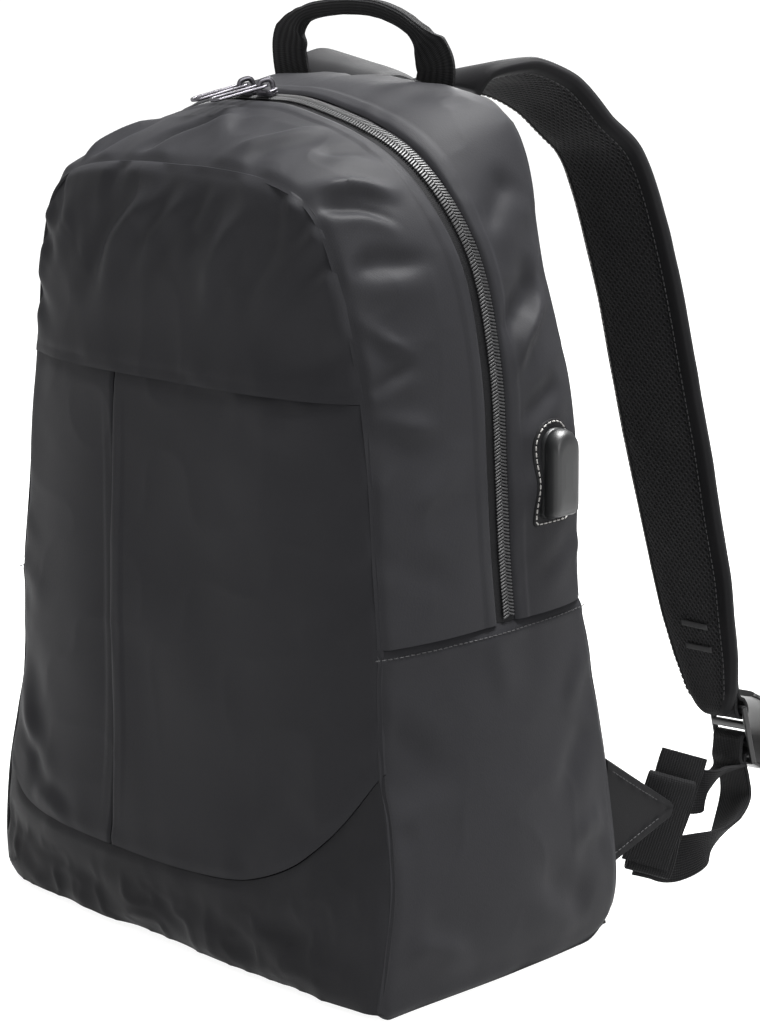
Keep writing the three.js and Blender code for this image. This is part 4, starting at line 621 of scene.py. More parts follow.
# Front folds. Columns: x and z of both ends, width and rise in millimetres.
frontFolds = np.array([
    (-3, 410, -49, 364, 8, 4.5), (19, 410, -19, 364, 7, 3.5), (-24, 410, -68, 350, 8, -4),
    (49, 403, 19, 373, 7, -3), (-68, 405, -97, 373, 8, 2.5), (121, 337, 81, 318, 10, -2.5),
    (-149, 136, -130, 77, 9, 4.5), (-157, 173, -138, 150, 12, -4), (66, 404, 30, 352, 6, 2.5),
    (90, 395, 62, 355, 7, -2.5), (-92, 400, -120, 352, 7, -2.5), (5, 415, -12, 388, 4, 2),
    (34, 412, 22, 392, 4, -2), (-110, 385, -128, 350, 6, 2.5), (-146, 96, -112, 66, 7, -3.5),
    (-120, 62, -84, 56, 5, 2), (120, 300, 70, 290, 12, 2), (132, 250, 100, 200, 16, 2),
    (-20, 200, 40, 120, 24, 1.8), (60, 260, 10, 200, 26, -1.6), (100, 130, 60, 70, 14, -2)])


def foldRise(place, folds, bend=3.0):
    # Each fold is a ridge with a shallow hollow on one side, bent by noise and dying out at its two ends.
    place = place + bend * np.stack([softNoise(place, 11, 27.0), softNoise(place, 12, 27.0)], axis=-1)
    total = np.zeros(place.shape[:-1])
    for x0, y0, x1, y1, width, rise in folds:
        start, way = np.array([x0, y0]), np.array([x1 - x0, y1 - y0])
        length = np.linalg.norm(way)
        way = way / length
        share = (place - start) @ way / length
        aside = (place - start) @ np.array([-way[1], way[0]]) / width
        ridge = np.exp(-aside ** 2) - 0.45 * np.exp(-((aside - 1.7) / 1.3) ** 2)
        total += rise * ridge * step(-0.15, 0.25, share) * step(1.2, 0.6, share)
    return total


def puckerRise(along, away, seed, spacing, reach, lean=0.0):
    # Gathers that start at a seam and die away from it: noise along the seam, drawn out across it.
    place = np.stack([(along + lean * away) / spacing, away / (5 * spacing)], axis=-1)
    return softNoise(place, seed) * np.exp(-away / reach) * step(0.5, 5, away)


def slack(place, seed, size):
    # Cloth that isn't quite taut: two scales of soft noise, the smaller one sharpened into creases.
    fine = softNoise(place, seed + 1, size * 0.45)
    return softNoise(place, seed, size) + 0.35 * (1 - 2 * np.sqrt(np.abs(fine) + 0.02))


def valley(away, depth, width):
    return -depth * np.exp(-(away / width) ** 2)


gussetSet = {"columns": 48, "bulge": 4.0, "seamDepth": 2.6, "seamWidth": 3.2, "hem": 8.0, "hemRise": 0.7,
             "slack": 0.9, "slackSize": 46.0, "pucker": 2.0, "puckerPitch": 12.0, "puckerReach": 15.0,
             "zipPucker": 0.5, "zipPuckerPitch": 9.0, "zipPuckerReach": 9.0, "frontGap": 1.2, "rearGap": 2.4}


def gussetSurface(s, seamArch, seamOut, seamAlong, side, folds, seed):
    # From the body seam to the folded edge beside the zip. side is -1 in front of the zip and 1 behind it.
    over = np.linspace(0, 1, s["columns"])[None, :]
    aroundSide = step(45, 150, np.abs(archAlong))
    reach = side * bag["zipSlot"] / 2 - aroundSide * s["frontGap" if side < 0 else "rearGap"]
    slot = zipArch + zipAcross * reach[:, None]
    grid = blend(seamArch[:, None], slot[:, None], over[..., None])
    outward = unit(blend(seamOut[:, None], zipOut[:, None], over[..., None]))
    width = np.linalg.norm(slot - seamArch, axis=-1)[:, None]
    away, fromZip = over * width, (1 - over) * width
    along = blend(seamAlong[:, None], archAlong[:, None], over)
    total = archAlong[-1] - archAlong[0]
    place = np.stack(np.broadcast_arrays(archAlong[:, None] - archAlong[0], over * width[0]), axis=-1)
    scaled = folds * np.array([total, width[0, 0], total, width[0, 0], 1, 1])
    ends = np.minimum(np.arange(stations), np.arange(stations)[::-1])[:, None] / (stations - 1)
    free = np.clip(ends * 14, 0, 1) * 4 * over * (1 - over)
    rise = 4 * over * (1 - over) * s["bulge"] + foldRise(place, scaled) * np.minimum(1, 1.3 * free)
    rise += s["slack"] * slack(place, seed, s["slackSize"]) * free
    rise += valley(away, s["seamDepth"], s["seamWidth"])
    rise += s["pucker"] * puckerRise(along, away, seed + 3, s["puckerPitch"], s["puckerReach"], 0.3 * side)
    rise += s["zipPucker"] * puckerRise(along, fromZip, seed + 4, s["zipPuckerPitch"], s["zipPuckerReach"])
    rise += s["hemRise"] * step(s["hem"] + 1.2, s["hem"] - 0.6, fromZip) - 1.6 * step(1.8, 0, fromZip)
    grid = grid + outward * rise[..., None]
    grid[[0, -1], :, 2] = bag["sideSeam"] + 0.2
    return grid


frontGusset = gussetSurface(gussetSet, frontArch, frontOut, frontAlong, -1, frontGussetFolds, 21)
rearGusset = gussetSurface(gussetSet, backArch, backOut, backAlong, 1, rearGussetFolds, 41)

# The front face, as depth over x and z. Its seams are lines of close points in that plane.
front = {"bulge": 16.0, "fullBelow": 0.72, "bottom": 0.45, "inset": 1.2, "seamDepth": 2.4, "seamWidth": 3.5,
         "pitch": 1.9, "flapLip": 3.0, "slitOpen": 2.6, "curveGap": 0.3, "flapGap": 0.2, "slitGap": 0.35}
seamHalf = alongLine(frontSeam, np.linspace(0, 1, 420))
frontLine = np.concatenate([seamHalf, seamHalf[::-1][1:] * mirror])[:, [0, 2]]
curveLine = smoothLine(curveTable)


def curveHeightAt(x):
    corner = np.where(x > 0, bag["curveSeam"] + bag["curveRise"],
                      bag["curveSeam"] + curveTable[0, 1] * bag["curveRise"])
    halfWidth = np.interp(corner, frontSeam[:, 2], frontSeam[:, 0])
    share = np.clip(x / halfWidth, -1, 1)
    return bag["curveSeam"] + bag["curveRise"] * np.interp(share, curveLine[:, 0], curveLine[:, 1])


curvePlaces = np.stack([np.linspace(-160, 160, 400), curveHeightAt(np.linspace(-160, 160, 400))], axis=-1)


def frontDepth(x, z, side=0):
    # side is -1 or 1 for the half of the lower front to the left or right of the slit, 0 elsewhere.
    s = front
    across = np.clip(x / np.interp(z, frontSeam[:, 2], frontSeam[:, 0]), -1, 1)
    high = np.clip(z / bag["frontHeight"], 0, 1)
    overTop = np.clip((high - s["fullBelow"]) / (1 - s["fullBelow"]), 0, 1)
    fullness = np.sqrt(1 - overTop ** 2) * blend(s["bottom"], 1, np.clip(z / bag["curveSeam"], 0, 1))
    place = np.stack([x, z], axis=-1)
    away, along = nearestOnLine(place, frontLine)
    fromCurve, alongCurve = nearestOnLine(place, curvePlaces)
    rise = s["bulge"] * fullness * (1 - np.abs(across) ** 3)
    free = step(0, 30, away)
    above = step(-8, 8, z - bag["flapSeam"])
    atTop = step(300, 380, z)
    rise += foldRise(place, frontFolds) * free * blend(0.8, 1, atTop)
    rise += slack(place, 61, 70.0) * free * blend(0.9, 0.7, atTop)
    rise += valley(away, s["seamDepth"], s["seamWidth"])
    gather = puckerRise(along, away, 65, 12.0, blend(12.0, 22.0, atTop), 0.45 * np.sign(x + 20))
    rise += blend(1.2, 3.4, atTop) * gather
    fromFlap = z - bag["flapSeam"]
    edge = 1 - np.abs(across) ** 6
    rise += np.where(fromFlap >= 0, s["flapLip"] * np.exp(-(fromFlap / 16) ** 2), 0) * edge
    rise += np.where(fromFlap < 0, valley(fromFlap, 1.2, 5.0), 0) * edge
    rise += 1.1 * puckerRise(x, np.abs(fromFlap), 67 + int(side == 0), 15.0, 14.0, 0.2)
    rise += valley(fromFlap - 5, 0.5, 1.6) * above
    baseSide = z < curveHeightAt(x)
    lip = np.where(baseSide, 0.0, 1.0) * np.exp(-(fromCurve / 9) ** 2) * edge
    rise += valley(fromCurve, 1.6, 3.0) * edge + lip
    rise += 1.2 * puckerRise(alongCurve, fromCurve, 71 + 2 * int(side == 0), 14.0, 14.0, 0.3)
    crumple = step(8, 26, fromCurve) * baseSide * step(0, 12, away)
    rise += 2.7 * slack(place * np.array([1, 1.5]), 75, 30.0) * crumple
    if side:
        reach = np.abs(x - bag["slit"])
        share = np.clip((z - bag["curveSeam"]) / (bag["flapSeam"] - bag["curveSeam"]), 0, 1)
        opened = np.sin(np.pi * np.clip((share - 0.04) / 0.92, 0, 1)) ** 0.8
        rise += side * s["slitOpen"] * opened * np.exp(-(reach / 24) ** 2)
        rise += 0.7 * step(10.5, 8.5, reach) * opened - 1.2 * step(2.0, 0.0, reach)
        rise += 0.5 * puckerRise(z, reach, 81 + side, 24.0, 16.0)
    return np.interp(z, frontSeam[:, 2], frontSeam[:, 1]) - rise


def insideSeam(line, inset):
    # The front panels' outer edge, drawn in a little from the seam, as places in x and z.
    along = unit(np.gradient(line, axis=0))
    return line + inset * np.stack([-along[:, 1], along[:, 0]], axis=-1)


frontEdge = insideSeam(frontLine, front["inset"])
frontEdge[:, 1] = np.maximum(frontEdge[:, 1], frontLine[0, 1])


def edgeWidthAt(z, sign):
    half = frontEdge[:len(seamHalf)] if sign > 0 else frontEdge[-len(seamHalf):][::-1]
    return np.interp(z, np.maximum.accumulate(half[:, 1]), half[:, 0])


def panelBetween(low, high, leftOf, rightOf, side=0):
    # Columns of places between two heights at each level, each level running from its left to its right edge.
    columns = int(np.ptp([leftOf(low(0)), rightOf(low(0))]) / front["pitch"])
    u = np.linspace(0, 1, max(24, columns))
    u = blend(u, 0.5 - 0.5 * np.cos(np.pi * u), 0.35)
    rows = int((high(0) - low(0)) / front["pitch"])
    v = np.linspace(0, 1, max(16, rows))
    x = np.zeros((len(u), len(v)))
    z = np.zeros_like(x)
    for sweep in range(6):
        z = blend(low(x), high(x), v[None, :])
        x = blend(leftOf(z), rightOf(z), u[:, None])
    return np.stack([x, frontDepth(x, z, side), z], axis=-1)


def leftEdgeAt(z):
    return edgeWidthAt(z, -1)


def rightEdgeAt(z):
    return edgeWidthAt(z, 1)


def upperFront():
    # The top edge follows the arch, so the columns fan out from the flap seam to even steps of the arch.
    low = bag["flapSeam"] + front["flapGap"]
    top = frontEdge[frontEdge[:, 1] >= bag["frontTop"]]
    left = frontEdge[len(seamHalf) - 1:]
    left = left[(left[:, 1] <= bag["frontTop"]) & (left[:, 1] > low)][::-1]
    right = frontEdge[:len(seamHalf)]
    right = right[(right[:, 1] <= bag["frontTop"]) & (right[:, 1] > low)]
    columns, rows = int(260 / front["pitch"]), int(108 / front["pitch"])
    foot = np.array([[leftEdgeAt(low), low], [rightEdgeAt(low), low]])
    bottomEdge = alongLine(foot, np.linspace(0, 1, columns))
    leftLine = np.concatenate([foot[:1], left])
    rightLine = np.concatenate([foot[1:], right])
    topLine = np.concatenate([left[-1:], top[::-1], right[-1:]])
    return coonsGrid(bottomEdge, alongLine(topLine, np.linspace(0, 1, columns)),
                     alongLine(leftLine, np.linspace(0, 1, rows)),
                     alongLine(rightLine, np.linspace(0, 1, rows)))


def coonsGrid(bottom, top, left, right):
    # Blend of four edges: the sum of both straight blends, less that of the corners.
    u = np.linspace(0, 1, len(bottom))[:, None, None]
    v = np.linspace(0, 1, len(left))[None, :, None]
    corners = (bottom[0] * (1 - u) + bottom[-1] * u) * (1 - v) + (top[0] * (1 - u) + top[-1] * u) * v
    return bottom[:, None] * (1 - v) + top[:, None] * v + left[None] * (1 - u) + right[None] * u - corners


def withDepth(flat, side=0):
    return np.stack([flat[..., 0], frontDepth(flat[..., 0], flat[..., 1], side), flat[..., 1]], axis=-1)


inwards = np.array([0, 1, 0])
addCloth("front_gusset_cloth", frontGusset, bag["wall"], shellCloth, "body_cloth", "front_gusset")
addCloth("rear_gusset_cloth", rearGusset, bag["wall"], shellCloth, "body_cloth", "rear_gusset")
addCloth("front_upper_cloth", withDepth(upperFront()), bag["wall"], shellCloth, "body_cloth",
         "front_upper_panel", inwards=inwards)


def levelAt(value):
    return lambda x: value + 0 * x


def curveAt(gap):
    return lambda x: curveHeightAt(x) + gap


flapFoot, baseFoot = bag["flapSeam"] - front["flapGap"], frontLine[0, 1]
# Lower front panels: piece, node, cloth, edges below, above, left and right, and the side of the slit.
lowerPanels = [
    ("pocket_cloth_left", "front_pocket_panel_left", shellCloth, curveAt(front["curveGap"]),
     levelAt(flapFoot), leftEdgeAt, levelAt(bag["slit"] - front["slitGap"]), -1),
    ("pocket_cloth_right", "front_pocket_panel_right", shellCloth, curveAt(front["curveGap"]),
     levelAt(flapFoot), levelAt(bag["slit"] + front["slitGap"]), rightEdgeAt, 1),
    ("base_cloth", "front_base_panel", baseCloth, levelAt(baseFoot), curveAt(-front["curveGap"]), leftEdgeAt,
     rightEdgeAt, 0)]
for name, node, cloth, *edges in lowerPanels:
    addCloth(name, panelBetween(*edges), bag["wall"], cloth, "body_cloth", node, inwards=inwards)
print("front and gussets ready")


# Lower sides, underside and padded back
side = {"columns": 92, "rows": 84, "bulge": 7.0, "wall": 1.5, "gap": 0.2, "seamWidth": 3.5, "frontSeam": 2.6,
        "backSeam": 2.2, "topSeam": 1.4, "topSeamWidth": 2.2, "floorSeam": 2.0, "floorSeamWidth": 5.0,
        "topLip": 0.6, "topLipAt": 6, "topLipWidth": 3, "slack": 1.6, "slackSize": 62.0, "slackApart": 300}
# Gathers along each edge of a side: rise, seed, spacing, reach and lean.
sidePuckers = {"front": (1.2, 93, 16.0, 16.0, -0.3), "back": (1.0, 95, 16.0, 14.0, 0.3),
               "top": (0.8, 97, 13.0, 12.0, 0.0), "floor": (1.6, 99, 18.0, 16.0, 0.4)}
# Folds of a side. Columns: depth and height of both ends, width and rise in millimetres.
sideFolds = np.array([
    (-70, 40, -30, 20, 9, 2.5), (60, 30, 20, 55, 10, -2.5), (68, 120, 40, 90, 9, -2.2),
    (74, 160, 52, 132, 7, 2.0), (-72, 150, -48, 128, 8, -1.8), (-70, 100, -40, 112, 9, 1.5),
    (78, 70, 50, 66, 8, 2.2), (0, 182, 8, 150, 9, 1.4)])


def lowerEdge(line, top, count):
    share = np.linspace(0, shareAtHeight(line, top), count)
    return alongLine(line, share)


def gathered(edge, along, away):
    rise, seed, spacing, reach, lean = sidePuckers[edge]
    return rise * puckerRise(along, away, seed, spacing, reach, lean)


def sidePanel(sign):
    s = side
    frontEdgeLine = lowerEdge(frontSeam, bag["sideSeam"], s["rows"])
    backEdgeLine = lowerEdge(backSeam, bag["sideSeam"], s["rows"])
    under = alongLine(underside, np.linspace(0, 1, s["columns"]))
    under[:, 2] = np.maximum(under[:, 2], 0)
    share = np.linspace(0, 1, s["columns"])
    top = blend(frontEdgeLine[-1], backEdgeLine[-1], share[:, None])
    foot = (zipArch[0, 1] - top[0, 1]) / (top[-1, 1] - top[0, 1])
    chord = blend(top[0, 0], top[-1, 0], foot)
    top[:, 0] += (zipArch[0, 0] - chord) * np.sin(np.pi * share)
    top[:, 2] = bag["sideSeam"] - s["gap"]
    grid = coonsGrid(under, top, frontEdgeLine, backEdgeLine)
    along, tall = share[:, None], np.linspace(0, 1, s["rows"])[None, :]
    length = grid[-1, :, 1] - grid[0, :, 1]
    awayFront, awayBack = along * length, (1 - along) * length
    awayTop, awayFloor = (1 - tall) * bag["sideSeam"], tall * bag["sideSeam"]
    place = np.stack([grid[..., 1], grid[..., 2]], axis=-1)
    free = np.sin(np.pi * along) * np.sin(np.pi * tall)
    rise = s["bulge"] * 4 * along * (1 - along) * np.sin(np.pi * tall) ** 0.7
    rise += s["slack"] * slack(place + s["slackApart"] * sign, 91, s["slackSize"]) * free
    rise += (valley(awayFront, s["frontSeam"], s["seamWidth"])
             + valley(awayBack, s["backSeam"], s["seamWidth"]))
    topLip = s["topLip"] * np.exp(-((awayTop - s["topLipAt"]) / s["topLipWidth"]) ** 2)
    rise += (valley(awayTop, s["topSeam"], s["topSeamWidth"]) + topLip
             + valley(awayFloor, s["floorSeam"], s["floorSeamWidth"]))
    deep, high = grid[..., 1], grid[..., 2]
    rise += gathered("front", high, awayFront) + gathered("back", high, awayBack)
    rise += gathered("top", deep, awayTop + 0 * high)
    rise += gathered("floor", deep, awayFloor + 0 * high)
    rise += foldRise(place, sideFolds)
    grid[..., 0] += rise
    return grid * np.array([sign, 1, 1])


for sign, word in hands:
    addCloth(f"side_cloth_{word}", sidePanel(sign), side["wall"], shellCloth, "body_cloth",
             f"side_panel_{word}", inwards=np.array([-sign, 0, 0]))


def undersidePanel():
    # Flat on the floor, with its front and back edges drawn up to the base panel and the back.
    edge = alongLine(underside, np.linspace(0, 1, 60))
    edge[:, 2] = np.maximum(edge[:, 2], 0)
    across = np.linspace(-1, 1, 90)[:, None]
    x = across * (edge[:, 0] - front["inset"])[None, :]
    frontY = frontDepth(x[:, 0], np.full(len(x), frontSeam[0, 2])) + bag["wall"]
    share = ((edge[:, 1] - edge[0, 1]) / (edge[-1, 1] - edge[0, 1]))[None, :]
    y = blend(frontY[:, None], edge[-1, 1], share)
    lift = 0.25 + 0.25 * slack(np.stack([x, y], axis=-1), 101, 40.0)
    z = np.minimum(edge[None, :, 2] + lift, 6.5)
    return np.stack([x, y, np.maximum(z, 0)], axis=-1)


addCloth("underside_cloth", undersidePanel(), 1.6, baseCloth, "body_cloth", "bottom_panel",
         inwards=np.array([0, 0, 1]))

# Padded back: foam between mesh and lining, sewn down along channels.
back = {"columns": 78, "rows": 112, "bulge": 5.0, "inset": 2.0, "padding": 6.0, "channelDepth": 4.0,
        "rimTuck": 1.7, "cover": 1.5, "sewnOver": 2.2, "halfHeld": 5, "paddedFrom": 12, "channelWidth": 5.0,
        "pressure": 4.0, "frames": 16, "reach": 2.5}
# Channels. Columns: x and z of both ends, on the right half.
channels = np.array([(52, 60, 52, 392), (0, 330, 52, 392), (0, 200, 52, 262), (0, 70, 52, 132)])


def backOutline():
    half = alongLine(backSeam, np.linspace(0, 1, 260))
    return np.concatenate([half, half[::-1][1:] * mirror])


def backPanel():
    s = back
    line = insideSeam(backOutline()[:, [0, 2]], s["inset"])
    half = len(line) // 2
    right, left = line[:half + 1], line[half:][::-1]
    split = np.searchsorted(np.maximum.accumulate(right[:, 1]), bag["backTop"])
    share = np.linspace(0, 1, s["columns"])
    bottom = blend(left[0], right[0], share[:, None])
    top = alongLine(np.concatenate([left[split:], right[split:-1][::-1]]), share)
    rows = np.linspace(0, 1, s["rows"])
    flat = coonsGrid(bottom, top, alongLine(left[:split + 1], rows), alongLine(right[:split + 1], rows))
    x, z = flat[..., 0], flat[..., 1]
    seamY = np.interp(z, backSeam[:, 2], backSeam[:, 1])
    across = np.clip(x / np.interp(z, backSeam[:, 2], backSeam[:, 0]), -1, 1)
    fullness = (1 - across ** 4) * (1 - (2 * z / bag["height"] - 1) ** 6)
    return np.stack([x, seamY + s["bulge"] * np.clip(fullness, 0, 1), z], axis=-1)


def channelDistance(x, z):
    away = np.full(x.shape, 1e3)
    for x0, z0, x1, z1 in channels:
        start, way = np.array([x0, z0]), np.array([x1 - x0, z1 - z0], float)
        offset = np.stack([np.abs(x), z], axis=-1) - start
        share = np.clip(offset @ way / (way @ way), 0, 1)
        away = np.minimum(away, np.linalg.norm(offset - share[..., None] * way, axis=-1))
    return away


def puffBack(piece, held, s):
    # Pressure fills the foam between the sewn lines, which the pin group holds.
    group = piece.vertex_groups.new(name="sewn")
    for strength in (1.0, 0.5):
        group.add([int(k) for k in np.flatnonzero(np.abs(held - strength) < 0.25)], strength, "REPLACE")
    cloth = piece.modifiers.new("puff", "CLOTH")
    cloth.settings.quality = 5
    cloth.settings.vertex_group_mass = "sewn"
    cloth.settings.use_pressure = True
    cloth.settings.uniform_pressure_force = s["pressure"]
    cloth.settings.tension_stiffness = 25
    cloth.settings.compression_stiffness = 8
    cloth.settings.bending_stiffness = 3
    cloth.settings.effector_weights.gravity = 0
    cloth.point_cache.frame_start = 1
    cloth.point_cache.frame_end = s["frames"]
    rest = np.zeros(len(piece.data.vertices) * 3, np.float32)
    piece.data.vertices.foreach_get("co", rest)
    rest = rest.reshape(-1, 3)
    for moment in range(1, s["frames"] + 1):
        bpy.context.scene.frame_set(moment)
    evaluated = piece.evaluated_get(bpy.context.evaluated_depsgraph_get())
    puffed = np.zeros(rest.size, np.float32)
    evaluated.data.vertices.foreach_get("co", puffed)
    moved = puffed.reshape(-1, 3) - rest
    size = np.linalg.norm(moved, axis=-1, keepdims=True)
    moved *= np.minimum(1, s["reach"] * mm / np.maximum(size, 1e-9))
    piece.modifiers.remove(cloth)
    piece.data.vertices.foreach_set("co", (rest + moved).ravel())
    piece.data.update()
    bpy.context.scene.frame_set(1)


def addBack(s):
    outer = backPanel()
    x, z = outer[..., 0], outer[..., 2]
    sewn = channelDistance(x, z)
    edge = np.zeros(x.shape, bool)
    edge[[0, -1]] = edge[:, [0, -1]] = True
    outer[..., 1] += valley(sewn, s["channelDepth"], s["channelWidth"])
    # The rim turns in behind the rear gusset's edge.
    outer[[0, -1], :, 1] -= s["rimTuck"]
    outer[1:-1, [0, -1], 1] -= s["rimTuck"]
    inner = outer.copy()
    inner[..., 1] = outer[..., 1] - np.where(edge, s["cover"],
                                             s["padding"] * step(0, s["paddedFrom"], sewn) + s["cover"])
    points, quads, uv = sheetMesh(outer, inner)
    piece = addMesh("back_padding", points, quads, spacerMesh, uv)
    held = np.where(edge | (sewn < s["sewnOver"]), 1.0, np.where(sewn < s["halfHeld"], 0.5, 0.0)).ravel()
    puffBack(piece, np.concatenate([held, np.ones(held.size)]), s)
    own(piece, "bag", "spacer_mesh", "back_panel")


addBack(back)
print("sides, underside and back ready")

# Zip: woven tape under two rows of interlocking coil teeth
zipSet = {"tapeHalf": 10.5, "tapeTop": -1.0, "tapeThickness": 0.9, "pitch": 1.75, "toothLength": 4.6,
          "toothRadius": 0.66, "toothHeight": -0.15, "toothAside": 1.95, "toothLean": 0.32}


def archFrame(share):
    place = alongLine(zipArch, share)
    at = np.asarray(share) * lengthsOf(zipArch)[-1]
    across = unit(np.stack([np.interp(at, lengthsOf(zipArch), zipAcross[:, k]) for k in range(3)], axis=-1))
    out = unit(np.stack([np.interp(at, lengthsOf(zipArch), zipOut[:, k]) for k in range(3)], axis=-1))
    return place, across, out


def zipTape(s):
    place, across, out = archFrame(np.linspace(0, 1, 620))
    wide = np.linspace(-s["tapeHalf"], s["tapeHalf"], 17)[None, :]
    along = lengthsOf(place)[:, None]
    high = s["tapeTop"] + 0.25 * noiseGrid(along / 9, wide / 8, 111)
    high = high - 0.8 * (np.abs(wide) / s["tapeHalf"]) ** 2
    grid = place[:, None] + across[:, None] * wide[..., None] + out[:, None] * high[..., None]
    grid[[0, -1], :, 2] = bag["sideSeam"] + 0.2
    return grid, grid - out[:, None] * s["tapeThickness"]


def capsule(length, radius, sides=6, rings=4):
    # A rounded bar along x: rings on a half circle at each end.
    angle = np.linspace(0, np.pi, 2 * rings)
    along = np.where(angle < np.pi / 2, 1, -1) * (length / 2 - radius) + radius * np.cos(angle)
    wide = radius * np.maximum(np.sin(angle), 0.25)
    turn = np.linspace(0, 2 * np.pi, sides, endpoint=False)
    points = np.stack([np.repeat(along, sides), np.outer(wide, np.cos(turn)).ravel(),
                       np.outer(wide, np.sin(turn)).ravel()], axis=-1)
    points = np.concatenate([points, [[length / 2, 0, 0], [-length / 2, 0, 0]]])
    count = len(along)
    k = np.arange(sides)
    cap = np.concatenate([
        np.stack([k, (k + 1) % sides, np.full(sides, count * sides)], axis=-1),
        np.stack([(count - 1) * sides + (k + 1) % sides, (count - 1) * sides + k,
                  np.full(sides, count * sides + 1)],
                 axis=-1)])
    return points, gridQuads(count, sides, wrap=True), cap


def addCopies(name, shape, places, xWay, yWay, zWay, finish, body="bag", slotName="body_cloth", *nodes):
    # One small shape set down at many places, each with its own three directions.
    points, quads, triangles = shape
    spots = (places[:, None] + points[None, :, :1] * xWay[:, None] + points[None, :, 1:2] * yWay[:, None]
             + points[None, :, 2:] * zWay[:, None]).reshape(-1, 3)
    shift = (np.arange(len(places)) * len(points))[:, None, None]
    piece = addMesh(name, spots, (quads[None] + shift).reshape(-1, 4), finish,
                    np.tile(points[:, :2], (len(places), 1)), (triangles[None] + shift).reshape(-1, 3))
    return own(piece, body, slotName, *nodes)


def addZip(s):
    addShape("zip_tape", sheetMesh(*zipTape(s)), tapeCloth, "bag", "zip_coil", "zipper_chain")
    total = lengthsOf(zipArch)[-1]
    steps = np.arange(3.0, total - 3.0, s["pitch"])
    places, xs, ys, zs = [], [], [], []
    for hand in (-1, 1):
        at = steps + (0.5 * s["pitch"] if hand > 0 else 0)
        place, across, out = archFrame(at / total)
        along = unit(np.cross(out, across))
        xs.append(unit(across * np.cos(s["toothLean"]) - hand * along * np.sin(s["toothLean"])))
        places.append(place + hand * s["toothAside"] * across + s["toothHeight"] * out)
        ys.append(np.cross(out, xs[-1]))
        zs.append(out)
    addCopies("zip_teeth", capsule(s["toothLength"], s["toothRadius"]),
              *(np.concatenate(a) for a in (places, xs, ys, zs)), coilNylon, "bag", "zip_coil")


addZip(zipSet)
print("zip ready")

# Sliders and pulls stand on the coil at the top of the arch
slider = {"length": 12.0, "width": 8.0, "height": 3.2, "rest": 0.9, "waist": 0.8, "crownSpan": 7.5,
          "crownRise": 4.6, "crownWire": 1.7, "turn": 66.0}
pull = {"length": 31.0, "width": 9.0, "rim": 2.1, "thickness": 1.7, "corner": 2.2}


def tubeFrames(line, up, closed=False):
    # Frames along a line: the across direction is level with the given one.
    if closed:
        way = unit(np.roll(line, -1, axis=0) - np.roll(line, 1, axis=0))
    else:
        way = unit(np.gradient(line, axis=0))
    normal = unit(up - np.sum(up * way, axis=-1, keepdims=True) * way)
    return line, np.cross(way, normal), normal


def joinParts(*parts):
    # Several closed shapes in one mesh.
    points, quads, uv, triangles, count = [], [], [], [], 0
    for part in parts:
        points.append(part[0])
        quads.append(np.asarray(part[1]).reshape(-1, 4) + count)
        uv.append(part[2])
        triangles.append(np.asarray(part[3]).reshape(-1, 3) + count)
        count += len(part[0])
    return tuple(np.concatenate(x) for x in (points, quads, uv, triangles))


def outward(part):
    # Turns one closed shape's faces out before it is joined with others.
    points, quads, uv, triangles = part
    quads, triangles = turnedOut(points, quads, triangles)
    return points, quads, uv, triangles


def bar(line, up, section):
    # One closed bar of a section along a line.
    frames = tubeFrames(line, up)
    sections = section if np.ndim(section) == 3 else np.repeat(section[None], len(line), axis=0)
    return outward(sweepMesh(frames, sections))


def ring(line, up, section):
    # A section carried round a closed line.
    place, across, normal = tubeFrames(line, up, closed=True)
    rings = place[:, None] + section[None, :, :1] * across[:, None] + section[None, :, 1:] * normal[:, None]
    m, n = rings.shape[:2]
    quads = gridQuads(m + 1, n, wrap=True) % (m * n)
    uv = np.stack(np.meshgrid(np.arange(n), np.arange(m), indexing="xy"), axis=-1).reshape(-1, 2) * 1.0
    return outward((rings.reshape(-1, 3), quads, uv, np.zeros((0, 3), int)))


def loft(plan, levels, place, x, y, z):
    # A plan outline, scaled at each level (scale, height), with both ends closed on their middles.
    rings = np.array([[(p[0] * k, p[1] * k, h) for p in plan] for k, h in levels])
    m, n = rings.shape[:2]
    flat = np.concatenate([rings.reshape(-1, 3), [[0, 0, levels[0][1]], [0, 0, levels[-1][1]]]])
    points = place + flat[:, :1] * x + flat[:, 1:2] * y + flat[:, 2:] * z
    k = np.arange(n)
    caps = np.concatenate([np.stack([k, (k + 1) % n, np.full(n, m * n)], axis=-1),
                           np.stack([(m - 1) * n + (k + 1) % n, (m - 1) * n + k, np.full(n, m * n + 1)],
                                    axis=-1)])
    return outward((points, gridQuads(m, n, wrap=True), flat[:, :2], caps))


def superEllipse(length, width, power, count=40):
    angle = np.linspace(0, 2 * np.pi, count, endpoint=False)
    c, s = np.cos(angle), np.sin(angle)
    return np.stack([length / 2 * np.sign(c) * np.abs(c) ** (2 / power),
                     width / 2 * np.sign(s) * np.abs(s) ** (2 / power)],
                    axis=-1)


